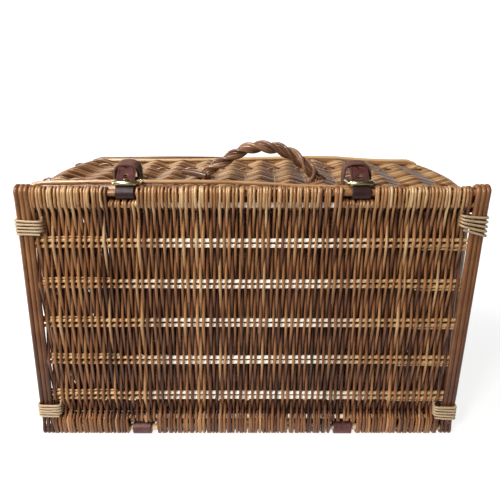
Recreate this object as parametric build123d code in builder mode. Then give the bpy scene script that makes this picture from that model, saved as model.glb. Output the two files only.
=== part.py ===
# Willow hamper with a hinged lid and two leather closing straps, standing on its hinge side.
# Millimetres. +X to the right along the lid, +Y from the lid to the base, +Z up from the floor.
# The origin is on the floor, in the middle of the hamper.

import math
import os

from build123d import *

os.makedirs("parts", exist_ok=True)

# Overall sizes
LID_WIDTH = 500.0
LID_HEIGHT = 306.0
CASE_DEPTH = 250.0  # from what stands furthest forward on the lid to the back of the base
LID_OVERHANG_ENDS = 7.0
LID_OVERHANG_TOP = 5.0

# Willow stock, diameters
EDGE_STICK_D = 8.0
INNER_STICK_D = 6.0
PAIR_STICK_D = 4.6
PAIR_SPREAD = 5.4
STAKE_D = 4.4
POST_D = 12.0
RIM_ROD_D = 8.0
WEAVER_T = 3.0
FIT = 0.3  # room between pieces that bear on each other
STICK_SIDES = 8
STAKE_SIDES = 6

# Weave of the lid and the base
LID_COLUMNS = 38
LID_COLUMN_GAP = 0.8
LID_PAIRS = 5
PAIR_MARGIN_HINGE = 32.8
PAIR_MARGIN_HANDLE = 39.4
STICK_INSET = 2.0
BASE_COLUMNS = 18
BASE_PAIRS = 5
BASE_COLUMN_GAP = 1.0
BASE_RECESS = 1.0

# Walls, rim and foot border
STAKE_SPACING = 18.6  # least distance between the stakes of a wall
BAND_GAP = 0.8
BINDER_W = 7.0  # narrow bands that hold the wide ones by passing the stakes the other way
LAST_BAND = 45.0
WALL_EASE = 3.0
FOOT_LIFT = 1.0  # the walls stand this far above the floor
RIM_DEPTH = 15.0
FOOT_DEPTH = 15.0
BORDER_BEVEL = 4.0
HINGE_GAP_EASE = 2.0

# Corner bindings of split cane
CANE_D = 2.4
CANE_TURNS = 5
CANE_PITCH = 3.3
CANE_CORNER = 1.1
CANE_SIDES = 5
CANE_GAP_SAMPLES = 6  # measuring points on each run of the winding
BINDING_COLUMNS = 2
UPPER_BINDING_DROP = 38.0  # lid's top edge to the top turn
LOWER_BINDING_RISE = 30.0  # lid's bottom edge to the bottom turn

# Carrying handle, a rope of willow strands
HANDLE_STRANDS = 3
STRAND_D = 6.0
STRAND_RING_R = 3.9  # middle of the rope to the middle of a strand
STRAND_TWIST = 66.0  # length of the rope in which a strand goes once round
STRAND_START = 0.25  # turn at which the first strand enters the wall
STRAND_STEPS = 40
STRAND_SIDES = 6
HANDLE_RISE = 36.0
HANDLE_SHOULDER_RISE = 7.0
HANDLE_LEFT_RUN = 52.0
HANDLE_RIGHT_RUN = 38.5
HANDLE_LOW_BEND = 14.0
HANDLE_HIGH_BEND = 60.0
HANDLE_LEFT_BAY = -3
HANDLE_RIGHT_BAY = 4
HANDLE_FROM_BINDER = 20.0

# Leather
LEATHER_SIDES = 16  # sides of a full fold
STRAP_W = 20.0
STRAP_T = 2.4
STRAP_SLOPE = 15.0
STRAP_STRAIGHT = 38.0
STRAP_BEND = 45.0
STRAP_BEND_TURN = 35.0
STRAP_TIP = 10.0
STRAP_HOLE_D = 3.6
HOLE_SIDES = 8
STRAP_HOLE_PITCH = 13.0
SPARE_HOLES = 2
LEFT_STRAP_COLUMN = -10
RIGHT_STRAP_COLUMN = 9
HINGE_W = 22.0
HINGE_T = 4.0
CHAPE_W = 18.0
CHAPE_T = 2.0
CHAPE_SLOPE_RUN = 16.0
CHAPE_TAIL = 30.0
KEEPER_T = 2.6
KEEPER_LENGTH = 18.0
KEEPER_EASE = 4.5
KEEPER_ROOM = 6.0
KEEPER_BAND_MARGIN = 2.4  # keeper's slot to the edge of the band that it goes through

# Brass
BUCKLE_WIRE_D = 3.2
WIRE_SIDES = 12
BUCKLE_SIDE_ROOM = 2.4
ROLLER_D = 5.4
BEARING_FIT = 0.25
FRONT_BAR_ALONG = 3.0  # along the strap from where it leaves its stick
HEEL_BAR_ALONG = 31.0
PRONG_T = 2.4
PRONG_W = 2.8
PRONG_EYE_T = 1.3
PRONG_OVERSHOOT = 2.5



def odd_bays(span):
    """The most bays, with one in the middle, that leave the stakes their least spacing."""
    return 2 * math.floor((span / STAKE_SPACING - 1) / 2) + 1


# Places worked out from the sizes
edge_r = EDGE_STICK_D / 2
inner_r = INNER_STICK_D / 2
half_weaver = WEAVER_T / 2
hinge_loop_r = edge_r + FIT + HINGE_T
lid_half = edge_r + FIT + WEAVER_T
lid_y = -CASE_DEPTH / 2 + max(hinge_loop_r, lid_half + FIT + CANE_D)
hinge_z = hinge_loop_r
lid_bottom = hinge_z - lid_half
lid_top = lid_bottom + LID_HEIGHT
top_stick_z = lid_top - lid_half
inner_step = 2 * FIT + WEAVER_T + inner_r
upper_inner_z = top_stick_z - (edge_r + FIT + STRAP_T) - inner_step
lower_inner_z = hinge_z + hinge_loop_r + inner_step
column_pitch = LID_WIDTH / LID_COLUMNS
cane_room = CANE_D + 2 * FIT
lowest_pair_z = lower_inner_z + PAIR_MARGIN_HINGE
highest_pair_z = upper_inner_z - PAIR_MARGIN_HANDLE
pair_pitch = (highest_pair_z - lowest_pair_z) / (LID_PAIRS - 1)
strap_x = {"left": LEFT_STRAP_COLUMN * column_pitch, "right": RIGHT_STRAP_COLUMN * column_pitch}

wall_t = STAKE_D + 2 * (WEAVER_T + FIT) + WALL_EASE
case_half_x = LID_WIDTH / 2 - LID_OVERHANG_ENDS
case_bottom = FOOT_LIFT
case_top = lid_top - LID_OVERHANG_TOP
end_wall_x = case_half_x - wall_t / 2
hinge_wall_z = case_bottom + wall_t / 2
handle_wall_z = case_top - wall_t / 2
hinge_inner_r = max(edge_r, RIM_ROD_D / 2) + FIT
mouth_y = lid_y + lid_half + cane_room
rim_back = mouth_y + RIM_DEPTH
rim_rod_y = rim_back - FIT - HINGE_T - hinge_inner_r
base_y = CASE_DEPTH / 2
foot_front = base_y - FOOT_DEPTH
foot_t = wall_t + 2 * FOOT_LIFT
long_bays = odd_bays(2 * end_wall_x)
end_bays = odd_bays(handle_wall_z - hinge_wall_z)
stake_pitch = 2 * end_wall_x / long_bays
end_pitch = (handle_wall_z - hinge_wall_z) / end_bays
handle_x = {"left": HANDLE_LEFT_BAY * stake_pitch, "right": HANDLE_RIGHT_BAY * stake_pitch}

# The strap leaves its stick along a sloping line, on which the buckle is set out
slope = math.radians(STRAP_SLOPE)
strap_along = Vector(math.cos(slope), math.sin(slope))
strap_normal = Vector(-math.sin(slope), math.cos(slope))
strap_loop_r = edge_r + FIT + STRAP_T / 2
strap_start = Vector(lid_y, top_stick_z) + strap_normal * strap_loop_r
wire_r = BUCKLE_WIRE_D / 2
roller_r = ROLLER_D / 2
front_bar = (
    strap_start
    + strap_along * FRONT_BAR_ALONG
    + strap_normal * (STRAP_T / 2 + FIT + roller_r)
)
chape_loop_r = wire_r + BEARING_FIT + CHAPE_T
heel_bar = (
    strap_start
    + strap_along * HEEL_BAR_ALONG
    - strap_normal * (STRAP_T / 2 + FIT + chape_loop_r)
)
prong_rest = front_bar + strap_normal * (roller_r + FIT + PRONG_T / 2 + FIT)
prong_along = (prong_rest - heel_bar).normalized()
buckle_half_x = STRAP_W / 2 + BUCKLE_SIDE_ROOM + wire_r
strap_crest = strap_start + strap_along * STRAP_STRAIGHT + Vector(
    STRAP_BEND * math.sin(slope), STRAP_BEND * (1 - math.cos(slope))
)

# The first band of a wall takes the keepers, and the handle goes down through the third
first_binder = strap_crest.X + KEEPER_LENGTH / 2 + FIT + KEEPER_BAND_MARGIN
last_binder = foot_front - LAST_BAND - BINDER_W
band_edges = [
    rim_back,
    first_binder,
    first_binder + BINDER_W,
    last_binder,
    last_binder + BINDER_W,
    foot_front,
]
handle_y = first_binder + BINDER_W + HANDLE_FROM_BINDER
handle_r = STRAND_RING_R + STRAND_D / 2


def export(builder, name):
    builder.part.label = name
    export_step(builder.part, f"parts/{name}.step")


def ribbon(centre_line, thickness):
    """Closed outline of a ribbon of one thickness, mitred at the corners of its centre line."""
    points = [Vector(*p) for p in centre_line]
    runs = [(b - a).normalized() for a, b in zip(points, points[1:])]
    befores = [runs[0]] + runs
    afters = runs + [runs[-1]]
    offsets = []
    for before, after in zip(befores, afters):
        middle = (before + after).normalized()
        normal = Vector(-middle.Y, middle.X)
        offsets.append(normal * (thickness / 2 / middle.dot(after)))
    one_side = [p + o for p, o in zip(points, offsets)]
    other_side = [p - o for p, o in zip(points, offsets)]
    return one_side + other_side[::-1]


def turn_round(stick_z, stick_r, up):
    """Centre line of a weaver from the front of a stick, round its far side, to the back."""
    reach = stick_r + FIT + half_weaver
    flat = reach * math.tan(math.pi / 8)
    points = [(-reach, flat), (-flat, reach), (flat, reach), (reach, flat)]
    return [(lid_y + y, stick_z + up * z) for y, z in points]


def pair_heights(lowest, pitch, count):
    return [lowest + i * pitch for i in range(count)]


def over_and_under(panel_y, heights, first_side):
    """Centre line past the stick pairs of a panel, in front of one and behind the next."""
    reach = PAIR_STICK_D / 2 + FIT + half_weaver
    points = []
    for i, z in enumerate(heights):
        y = panel_y + reach * first_side * (-1) ** i
        points += [(y, z - PAIR_SPREAD / 2), (y, z + PAIR_SPREAD / 2)]
    return points


def near_leather(x, width):
    return any(abs(x - s) < width / 2 + FIT + column_pitch / 2 for s in strap_x.values())


def lid_column(first_side, at_hinge, at_strap):
    """Centre line of a column of the lid weave; beside leather it stops at the inner stick."""
    front_y = lid_y - (edge_r + FIT + half_weaver)
    inner_front_y = lid_y - (inner_r + FIT + half_weaver)
    if at_hinge:
        low_turn = turn_round(lower_inner_z, inner_r, -1)
        low_end = low_turn[::-1] + [(inner_front_y, lower_inner_z)]
    else:
        low_turn = turn_round(hinge_z, edge_r, -1)
        low_end = low_turn[::-1] + [(front_y, lower_inner_z)]
    if at_strap:
        high_turn = turn_round(upper_inner_z, inner_r, 1)
        high_end = [(inner_front_y, upper_inner_z)] + high_turn
    else:
        high_turn = turn_round(top_stick_z, edge_r, 1)
        high_end = [(front_y, upper_inner_z)] + high_turn
    heights = pair_heights(lowest_pair_z, pair_pitch, LID_PAIRS)
    return low_end + over_and_under(lid_y, heights, first_side) + high_end


def column_edge(i):
    """Place of the cut between two columns of the lid, and the room it needs there."""
    bound = i in (BINDING_COLUMNS, LID_COLUMNS - BINDING_COLUMNS)
    return (i - LID_COLUMNS / 2) * column_pitch, cane_room if bound else LID_COLUMN_GAP


def lid_columns():
    """Columns of the lid that are alike, with the places of their middles."""
    alike = {}
    for i in range(LID_COLUMNS):
        (left, left_gap), (right, right_gap) = column_edge(i), column_edge(i + 1)
        low, high = left + left_gap / 2, right - right_gap / 2
        x = (low + high) / 2
        kind = ((-1) ** i, near_leather(x, HINGE_W), near_leather(x, STRAP_W))
        alike.setdefault((kind, round(high - low, 3)), []).append(x)
    return alike


def in_and_out(stations, pitch, first_side, post):
    """Centre line of a wall band that passes its stakes by turns inside and outside."""
    bearing = STAKE_D / 2 + FIT + half_weaver
    swing = bearing / math.sqrt(1 - (2 * bearing / pitch) ** 2)
    clear = POST_D / 2 + FIT + half_weaver
    fade = 1 - 2 * clear / pitch
    points = [(s, swing * first_side * (-1) ** i) for i, s in enumerate(stations)]
    start = (-post + clear, -points[0][1] * fade)
    finish = (post - clear, -points[-1][1] * fade)
    return [start] + points + [finish]


def wall_stations(bays, pitch):
    return [(i - bays / 2) * pitch for i in range(1, bays)]


def weave_bands(outline_for_side):
    """The bands of one wall, from the rim to the foot border, wide and narrow in turn."""
    for i, (near, far) in enumerate(zip(band_edges, band_edges[1:])):
        with BuildSketch(Plane.XZ.offset(-(near + far) / 2)) as middle:
            with BuildLine():
                Polyline(*outline_for_side((-1) ** i), close=True)
            make_face()
        extrude(middle.sketch, amount=(far - near - BAND_GAP) / 2, both=True)


def long_wall_outline(side, wall_z):
    line = in_and_out(wall_stations(long_bays, stake_pitch), stake_pitch, side, end_wall_x)
    return ribbon([(x, wall_z + swing) for x, swing in line], WEAVER_T)


def end_wall_outline(side, wall_x):
    middle = (hinge_wall_z + handle_wall_z) / 2
    post = (handle_wall_z - hinge_wall_z) / 2
    line = in_and_out(wall_stations(end_bays, end_pitch), end_pitch, side, post)
    return ribbon([(wall_x + swing, middle + along) for along, swing in line], WEAVER_T)


def rods_along_depth(places, diameter, sides, start, finish):
    with BuildSketch(Plane.XZ.offset(-start)) as ends:
        with Locations(*places):
            RegularPolygon(diameter / 2, sides)
    extrude(ends.sketch, amount=start - finish)


def sticks_along_width(places, diameter, half_length):
    with BuildSketch(Plane.YZ) as middles:
        with Locations(*places):
            RegularPolygon(diameter / 2, STICK_SIDES)
    extrude(middles.sketch, amount=half_length, both=True)


def round_rod_along_width(place, diameter, half_length):
    with BuildSketch(Plane.YZ) as middle:
        with Locations(place):
            Circle(diameter / 2)
    extrude(middle.sketch, amount=half_length, both=True)


def between_stakes(x):
    """The place nearest to x where a keeper's leg clears the stakes of its wall."""
    middle_bay = (long_bays - 1) / 2
    bay_x = (round(x / stake_pitch + middle_bay) - middle_bay) * stake_pitch
    room = stake_pitch / 2 - STAKE_D / 2 - FIT - KEEPER_T / 2
    return min(max(x, bay_x - room), bay_x + room)


# Handle wall, with holes for the handle's ends and slots for the keepers' legs
keeper_half = STRAP_W / 2 + KEEPER_EASE + KEEPER_T / 2
keeper_legs = {
    side_name: [between_stakes(x - keeper_half), between_stakes(x + keeper_half)]
    for side_name, x in strap_x.items()
}
with BuildPart() as handle_wall_weave:
    weave_bands(lambda side: long_wall_outline(side, handle_wall_z))
    with BuildSketch(Plane.XY.offset(case_top)):
        with Locations(*[(x, handle_y) for x in handle_x.values()]):
            RegularPolygon(handle_r + FIT, HOLE_SIDES, major_radius=False)
        for legs in keeper_legs.values():
            with Locations(*[(leg_x, strap_crest.X) for leg_x in legs]):
                Rectangle(KEEPER_T + 2 * FIT, KEEPER_LENGTH + 2 * FIT)
    extrude(amount=-wall_t, mode=Mode.SUBTRACT)
export(handle_wall_weave, "handle_wall_weave")

with BuildPart() as hinge_wall_weave:
    weave_bands(lambda side: long_wall_outline(side, hinge_wall_z))
export(hinge_wall_weave, "hinge_wall_weave")

for end_name, end_side in (("left", -1), ("right", 1)):
    with BuildPart() as end_weave:
        weave_bands(lambda side: end_wall_outline(side, end_side * end_wall_x))
    export(end_weave, f"{end_name}_end_weave")

    with BuildPart() as end_stakes:
        end_middle = (hinge_wall_z + handle_wall_z) / 2
        end_places = [
            (end_side * end_wall_x, end_middle + z) for z in wall_stations(end_bays, end_pitch)
        ]
        rods_along_depth(end_places, STAKE_D, STAKE_SIDES, rim_back, foot_front)
    export(end_stakes, f"{end_name}_end_stakes")

for wall_name, wall_z in (("handle", handle_wall_z), ("hinge", hinge_wall_z)):
    with BuildPart() as long_stakes:
        long_places = [(x, wall_z) for x in wall_stations(long_bays, stake_pitch)]
        rods_along_depth(long_places, STAKE_D, STAKE_SIDES, rim_back, foot_front)
    export(long_stakes, f"{wall_name}_wall_stakes")

for post_name, post_x, post_z in (
    ("upper_left", -end_wall_x, handle_wall_z),
    ("upper_right", end_wall_x, handle_wall_z),
    ("lower_left", -end_wall_x, hinge_wall_z),
    ("lower_right", end_wall_x, hinge_wall_z),
):
    with BuildPart() as corner_post:
        rods_along_depth([(post_x, post_z)], POST_D, STICK_SIDES, rim_back, foot_front)
    export(corner_post, f"corner_post_{post_name}")


def border_bar(x_range, y_range, z_range, along):
    """A border bar with its long edges bevelled."""
    sizes = [high - low for low, high in (x_range, y_range, z_range)]
    middle = [(low + high) / 2 for low, high in (x_range, y_range, z_range)]
    with Locations(tuple(middle)):
        bar = Box(*sizes)
    chamfer(bar.edges().filter_by(along), BORDER_BEVEL)


rim_depths = (mouth_y, rim_back)
foot_depths = (foot_front, base_y)
foot_half_x = case_half_x + FOOT_LIFT

with BuildPart() as handle_rim:
    border_bar((-case_half_x, case_half_x), rim_depths, (case_top - wall_t, case_top), Axis.X)
export(handle_rim, "mouth_rim_handle_side")

# On the hinge side the border is bound round a rod that shows bare at each hinge
hinge_gap = HINGE_W / 2 + HINGE_GAP_EASE
rim_stops = [
    -case_half_x,
    strap_x["left"] - hinge_gap,
    strap_x["left"] + hinge_gap,
    strap_x["right"] - hinge_gap,
    strap_x["right"] + hinge_gap,
    case_half_x,
]
with BuildPart() as hinge_rim:
    for start, finish in zip(rim_stops[::2], rim_stops[1::2]):
        border_bar((start, finish), rim_depths, (case_bottom, case_bottom + wall_t), Axis.X)
    round_rod_along_width((rim_rod_y, hinge_z), RIM_ROD_D, case_half_x)
export(hinge_rim, "mouth_rim_hinge_side")

for end_name, end_side in (("left", -1), ("right", 1)):
    with BuildPart() as end_rim:
        rim_x = sorted((end_side * case_half_x, end_side * (case_half_x - wall_t)))
        border_bar(rim_x, rim_depths, (case_bottom + wall_t, case_top - wall_t), Axis.Z)
    export(end_rim, f"mouth_rim_{end_name}")

foot_low = 0.0
foot_high = case_top + FOOT_LIFT
for foot_name, foot_z in (
    ("hinge_side", (foot_low, foot_low + foot_t)),
    ("handle_side", (foot_high - foot_t, foot_high)),
):
    with BuildPart() as long_foot:
        border_bar((-foot_half_x, foot_half_x), foot_depths, foot_z, Axis.X)
    export(long_foot, f"foot_border_{foot_name}")

for end_name, end_side in (("left", -1), ("right", 1)):
    with BuildPart() as end_foot:
        foot_x = sorted((end_side * foot_half_x, end_side * (foot_half_x - foot_t)))
        border_bar(foot_x, foot_depths, (foot_low + foot_t, foot_high - foot_t), Axis.Z)
    export(end_foot, f"foot_border_{end_name}")

# Base panel, woven inside the foot border
panel_half = PAIR_STICK_D / 2 + FIT + WEAVER_T
panel_y = base_y - BASE_RECESS - panel_half
panel_half_x = foot_half_x - foot_t
panel_low = foot_low + foot_t
panel_high = foot_high - foot_t
base_pair_pitch = (panel_high - panel_low) / BASE_PAIRS
base_heights = pair_heights(panel_low + base_pair_pitch / 2, base_pair_pitch, BASE_PAIRS)
base_column_pitch = 2 * panel_half_x / BASE_COLUMNS

base_middles = [(i - (BASE_COLUMNS - 1) / 2) * base_column_pitch for i in range(BASE_COLUMNS)]

with BuildPart() as base_weave:
    for side, alike in ((1, base_middles[::2]), (-1, base_middles[1::2])):
        passes = over_and_under(panel_y, base_heights, side)
        low_end = (passes[0][0], panel_low + FIT)
        high_end = (passes[-1][0], panel_high - FIT)
        with BuildSketch(*[Plane.YZ.offset(x) for x in alike]):
            with BuildLine():
                Polyline(*ribbon([low_end] + passes[1:-1] + [high_end], WEAVER_T), close=True)
            make_face()
        extrude(amount=(base_column_pitch - BASE_COLUMN_GAP) / 2, both=True)
export(base_weave, "base_weave")


def pair_places(y, heights):
    return [(y, z + side * PAIR_SPREAD / 2) for z in heights for side in (-1, 1)]


with BuildPart() as base_sticks:
    sticks_along_width(pair_places(panel_y, base_heights), PAIR_STICK_D, panel_half_x)
export(base_sticks, "base_sticks")

# Carrying handle, twisted strands that go through the handle wall at both ends
handle_top = case_top + HANDLE_RISE
shoulder_z = case_top + HANDLE_SHOULDER_RISE
with BuildLine(Plane.XZ.offset(-handle_y)) as handle_line:
    FilletPolyline(
        (handle_x["left"], case_top - wall_t),
        (handle_x["left"], shoulder_z),
        (handle_x["left"] + HANDLE_LEFT_RUN, handle_top),
        (handle_x["right"] - HANDLE_RIGHT_RUN, handle_top),
        (handle_x["right"], shoulder_z),
        (handle_x["right"], case_top - wall_t),
        radius=[HANDLE_LOW_BEND, HANDLE_HIGH_BEND, HANDLE_HIGH_BEND, HANDLE_LOW_BEND],
    )
handle_arch = handle_line.wire()


def strand(which):
    """Points of one strand of the rope, which goes round the arch as it follows it."""
    points = []
    across = Vector(0, 1, 0)
    for i in range(STRAND_STEPS + 1):
        place = i / STRAND_STEPS
        turns = STRAND_START + place * handle_arch.length / STRAND_TWIST + which / HANDLE_STRANDS
        outward = (handle_arch % place).cross(across)
        radial = outward * math.cos(2 * math.pi * turns) + across * math.sin(2 * math.pi * turns)
        points.append(handle_arch @ place + radial * STRAND_RING_R)
    return points


with BuildPart() as carry_handle:
    for which in range(HANDLE_STRANDS):
        strand_points = strand(which)
        with BuildLine():
            Polyline(*strand_points)
        with BuildSketch(Plane(strand_points[0], z_dir=strand_points[1] - strand_points[0])):
            RegularPolygon(STRAND_D / 2, STRAND_SIDES)
        sweep(transition=Transition.RIGHT)
export(carry_handle, "carry_handle")

# Lid sticks
stick_half = LID_WIDTH / 2 - STICK_INSET
for stick_name, stick_z in (
    ("lid_hinge_edge_stick", hinge_z),
    ("lid_handle_edge_stick", top_stick_z),
):
    with BuildPart() as edge_stick:
        round_rod_along_width((lid_y, stick_z), EDGE_STICK_D, stick_half)
    export(edge_stick, stick_name)

for stick_name, stick_z in (
    ("lid_hinge_inner_stick", lower_inner_z),
    ("lid_handle_inner_stick", upper_inner_z),
):
    with BuildPart() as inner_stick:
        sticks_along_width([(lid_y, stick_z)], INNER_STICK_D, stick_half)
    export(inner_stick, stick_name)

for i, pair_z in enumerate(pair_heights(lowest_pair_z, pair_pitch, LID_PAIRS)):
    with BuildPart() as lid_pair:
        sticks_along_width(pair_places(lid_y, [pair_z]), PAIR_STICK_D, stick_half)
    export(lid_pair, f"lid_stick_pair_{i + 1}")

# Lid weave
with BuildPart() as lid_weave:
    for (kind, width), middles in lid_columns().items():
        with BuildSketch(*[Plane.YZ.offset(x) for x in middles]):
            with BuildLine():
                Polyline(*ribbon(lid_column(*kind), WEAVER_T), close=True)
            make_face()
        extrude(amount=width / 2, both=True)
export(lid_weave, "lid_weave")

# Corner bindings, each one length of cane wound round the last columns of the lid
cane_outer_x = LID_WIDTH / 2 - LID_COLUMN_GAP / 2 + FIT + CANE_D / 2
cane_inner_x = LID_WIDTH / 2 - BINDING_COLUMNS * column_pitch
cane_y = lid_half + FIT + CANE_D / 2


def winding(side, lowest_z):
    """Points of a wound cane that goes straight past each face and climbs along the back."""
    outer, inner = cane_outer_x, cane_inner_x
    corner_turn = [
        (inner + CANE_CORNER, -cane_y, 0),
        (outer - CANE_CORNER, -cane_y, 0),
        (outer, -cane_y + CANE_CORNER, 0),
        (outer, cane_y - CANE_CORNER, 0),
        (outer - CANE_CORNER, cane_y, 0),
        (inner + CANE_CORNER, cane_y, 1),
        (inner, cane_y - CANE_CORNER, 1),
        (inner, -cane_y + CANE_CORNER, 1),
    ]
    return [
        (side * x, lid_y + y, lowest_z + (turn + climb) * CANE_PITCH)
        for turn in range(CANE_TURNS)
        for x, y, climb in corner_turn
    ]


def least_gap(points, points_in_turn):
    """Least gap between a wound cane and its own next turns, measured on points."""
    samples = [
        Vector(*start) + (Vector(*finish) - Vector(*start)) * (i / CANE_GAP_SAMPLES)
        for start, finish in zip(points, points[1:])
        for i in range(CANE_GAP_SAMPLES)
    ]
    apart = points_in_turn * CANE_GAP_SAMPLES // 2
    distances = [(a - b).length for i, a in enumerate(samples) for b in samples[i + apart:]]
    return min(distances) - CANE_D


binding_height = (CANE_TURNS - 1) * CANE_PITCH
for binding_name, binding_side, binding_z in (
    ("upper_left", -1, lid_top - UPPER_BINDING_DROP - binding_height),
    ("upper_right", 1, lid_top - UPPER_BINDING_DROP - binding_height),
    ("lower_left", -1, lid_bottom + LOWER_BINDING_RISE),
    ("lower_right", 1, lid_bottom + LOWER_BINDING_RISE),
):
    cane_points = winding(binding_side, binding_z)
    with BuildPart() as binding:
        with BuildLine():
            Polyline(*cane_points)
        first_run = Vector(*cane_points[1]) - Vector(*cane_points[0])
        with BuildSketch(Plane(origin=cane_points[0], z_dir=first_run)):
            RegularPolygon(CANE_D / 2, CANE_SIDES)
        sweep(transition=Transition.RIGHT)
    export(binding, f"lid_binding_{binding_name}")

# Leather and brass of the two closures
heel_to_front = front_bar - heel_bar
buckle_plane = Plane(
    origin=(0, heel_bar.X, heel_bar.Y),
    x_dir=(1, 0, 0),
    z_dir=(0, -heel_to_front.Y, heel_to_front.X),
)
crossing = (heel_bar - strap_start).cross(prong_along).Z / strap_along.cross(prong_along).Z
crossing_turn = math.radians(strap_along.get_angle(prong_along))
slot_length = (
    STRAP_T / abs(math.tan(crossing_turn)) + PRONG_T / abs(math.sin(crossing_turn)) + STRAP_HOLE_D
)


def fold(radius, turned=0.0, mode=Mode.ADD):
    """Section of folded leather, with flat sides at this distance from its middle."""
    flat_on_top = turned - 180 / LEATHER_SIDES
    RegularPolygon(radius, LEATHER_SIDES, major_radius=False, rotation=flat_on_top, mode=mode)


def long_fold(span, radius, mode=Mode.ADD):
    """Section of leather folded round two rods side by side."""
    with Locations((-span / 2, 0), (span / 2, 0)):
        fold(radius, mode=mode)
    Rectangle(span, 2 * radius, mode=mode)


def eye(radius, mode=Mode.ADD):
    """Section of a prong's eye, with flat sides at this distance from its middle."""
    RegularPolygon(radius, WIRE_SIDES, major_radius=False, mode=mode)


def strap_hole():
    RegularPolygon(STRAP_HOLE_D / 2, HOLE_SIDES, False, rotation=180 / HOLE_SIDES)


for side_name, x in strap_x.items():
    with BuildPart() as hinge_loop:
        hinge_middle = Plane(
            origin=(x, (lid_y + rim_rod_y) / 2, hinge_z), x_dir=(0, 1, 0), z_dir=(1, 0, 0)
        )
        with BuildSketch(hinge_middle):
            long_fold(rim_rod_y - lid_y, hinge_inner_r + HINGE_T)
            long_fold(rim_rod_y - lid_y, hinge_inner_r, mode=Mode.SUBTRACT)
        extrude(amount=HINGE_W / 2, both=True)
    export(hinge_loop, f"{side_name}_hinge_loop")

    with BuildPart() as strap:
        with BuildSketch(Plane.YZ.offset(x)):
            with BuildLine():
                run = Line(strap_start, strap_start + strap_along * STRAP_STRAIGHT)
                bend = JernArc(run @ 1, run % 1, STRAP_BEND, -STRAP_BEND_TURN)
                Line(bend @ 1, bend @ 1 + (bend % 1) * STRAP_TIP)
            trace(line_width=STRAP_T)
            with Locations((lid_y, top_stick_z)):
                fold(strap_loop_r + STRAP_T / 2, STRAP_SLOPE)
                fold(strap_loop_r - STRAP_T / 2, STRAP_SLOPE, Mode.SUBTRACT)
        extrude(amount=STRAP_W / 2, both=True)
        hole_centre = strap_start + strap_along * crossing
        hole_plane = Plane(
            origin=(x, hole_centre.X, hole_centre.Y),
            x_dir=(0, strap_along.X, strap_along.Y),
            z_dir=(0, strap_normal.X, strap_normal.Y),
        )
        with BuildSketch(hole_plane):
            slot_run = slot_length - STRAP_HOLE_D
            Rectangle(slot_run, STRAP_HOLE_D)
            spare_holes = [(i + 1) * STRAP_HOLE_PITCH for i in range(SPARE_HOLES)]
            with Locations(*[(place, 0) for place in (-slot_run / 2, slot_run / 2, *spare_holes)]):
                strap_hole()
        extrude(amount=2 * STRAP_T, both=True, mode=Mode.SUBTRACT)
    export(strap, f"{side_name}_strap")

    with BuildPart() as buckle_frame:
        frame_corners = [
            (x - buckle_half_x, 0),
            (x + buckle_half_x, 0),
            (x + buckle_half_x, heel_to_front.length),
            (x - buckle_half_x, heel_to_front.length),
        ]
        with BuildLine(buckle_plane):
            Polyline(*frame_corners, close=True)
        wire_start = (x - buckle_half_x, heel_bar.X, heel_bar.Y)
        with BuildSketch(Plane(origin=wire_start, z_dir=(1, 0, 0))):
            RegularPolygon(wire_r, WIRE_SIDES)
        sweep(transition=Transition.RIGHT)
    export(buckle_frame, f"{side_name}_buckle_frame")

    with BuildPart() as roller:
        with BuildSketch(Plane.YZ.offset(x)):
            with Locations((front_bar.X, front_bar.Y)):
                Circle(roller_r)
                Circle(wire_r + BEARING_FIT, mode=Mode.SUBTRACT)
        extrude(amount=buckle_half_x - wire_r - FIT, both=True)
    export(roller, f"{side_name}_buckle_roller")

    with BuildPart() as prong:
        with BuildSketch(Plane.YZ.offset(x)):
            with BuildLine():
                Line(heel_bar, prong_rest + prong_along * PRONG_OVERSHOOT)
            trace(line_width=PRONG_T)
            with Locations((heel_bar.X, heel_bar.Y)):
                eye(wire_r + BEARING_FIT + PRONG_EYE_T)
                eye(wire_r + BEARING_FIT, Mode.SUBTRACT)
        extrude(amount=PRONG_W / 2, both=True)
    export(prong, f"{side_name}_buckle_prong")

    with BuildPart() as chape:
        tail_z = case_top + FIT + CHAPE_T / 2
        loop_mid_r = chape_loop_r - CHAPE_T / 2
        with BuildSketch(Plane.YZ.offset(x)):
            with BuildLine():
                Polyline(
                    (heel_bar.X, heel_bar.Y - loop_mid_r),
                    (heel_bar.X + CHAPE_SLOPE_RUN, tail_z),
                    (heel_bar.X + CHAPE_SLOPE_RUN + CHAPE_TAIL, tail_z),
                )
            trace(line_width=CHAPE_T)
            with Locations((heel_bar.X, heel_bar.Y)):
                fold(chape_loop_r)
                fold(chape_loop_r - CHAPE_T, mode=Mode.SUBTRACT)
        extrude(amount=CHAPE_W / 2, both=True)
        # The fold is open in the middle for the eye of the prong
        fold_size = 2 * (chape_loop_r + FIT)
        with Locations((x, heel_bar.X, heel_bar.Y)):
            Box(PRONG_W + 2 * FIT, fold_size, fold_size, mode=Mode.SUBTRACT)
    export(chape, f"{side_name}_buckle_chape")

    with BuildPart() as keeper:
        left_leg, right_leg = keeper_legs[side_name]
        arch_x, arch_r = (left_leg + right_leg) / 2, (right_leg - left_leg) / 2
        spring_z = strap_crest.Y + STRAP_T / 2 + KEEPER_ROOM + KEEPER_T / 2 - arch_r
        foot_z = case_top - wall_t
        arch_turns = [math.pi * i / LEATHER_SIDES for i in range(LEATHER_SIDES + 1)]
        arch = [(arch_x - arch_r * math.cos(a), spring_z + arch_r * math.sin(a)) for a in arch_turns]
        with BuildSketch(Plane.XZ.offset(-strap_crest.X)):
            with BuildLine():
                legs_and_arch = [(left_leg, foot_z)] + arch + [(right_leg, foot_z)]
                Polyline(*ribbon(legs_and_arch, KEEPER_T), close=True)
            make_face()
        extrude(amount=KEEPER_LENGTH / 2, both=True)
    export(keeper, f"{side_name}_strap_keeper")

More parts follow.
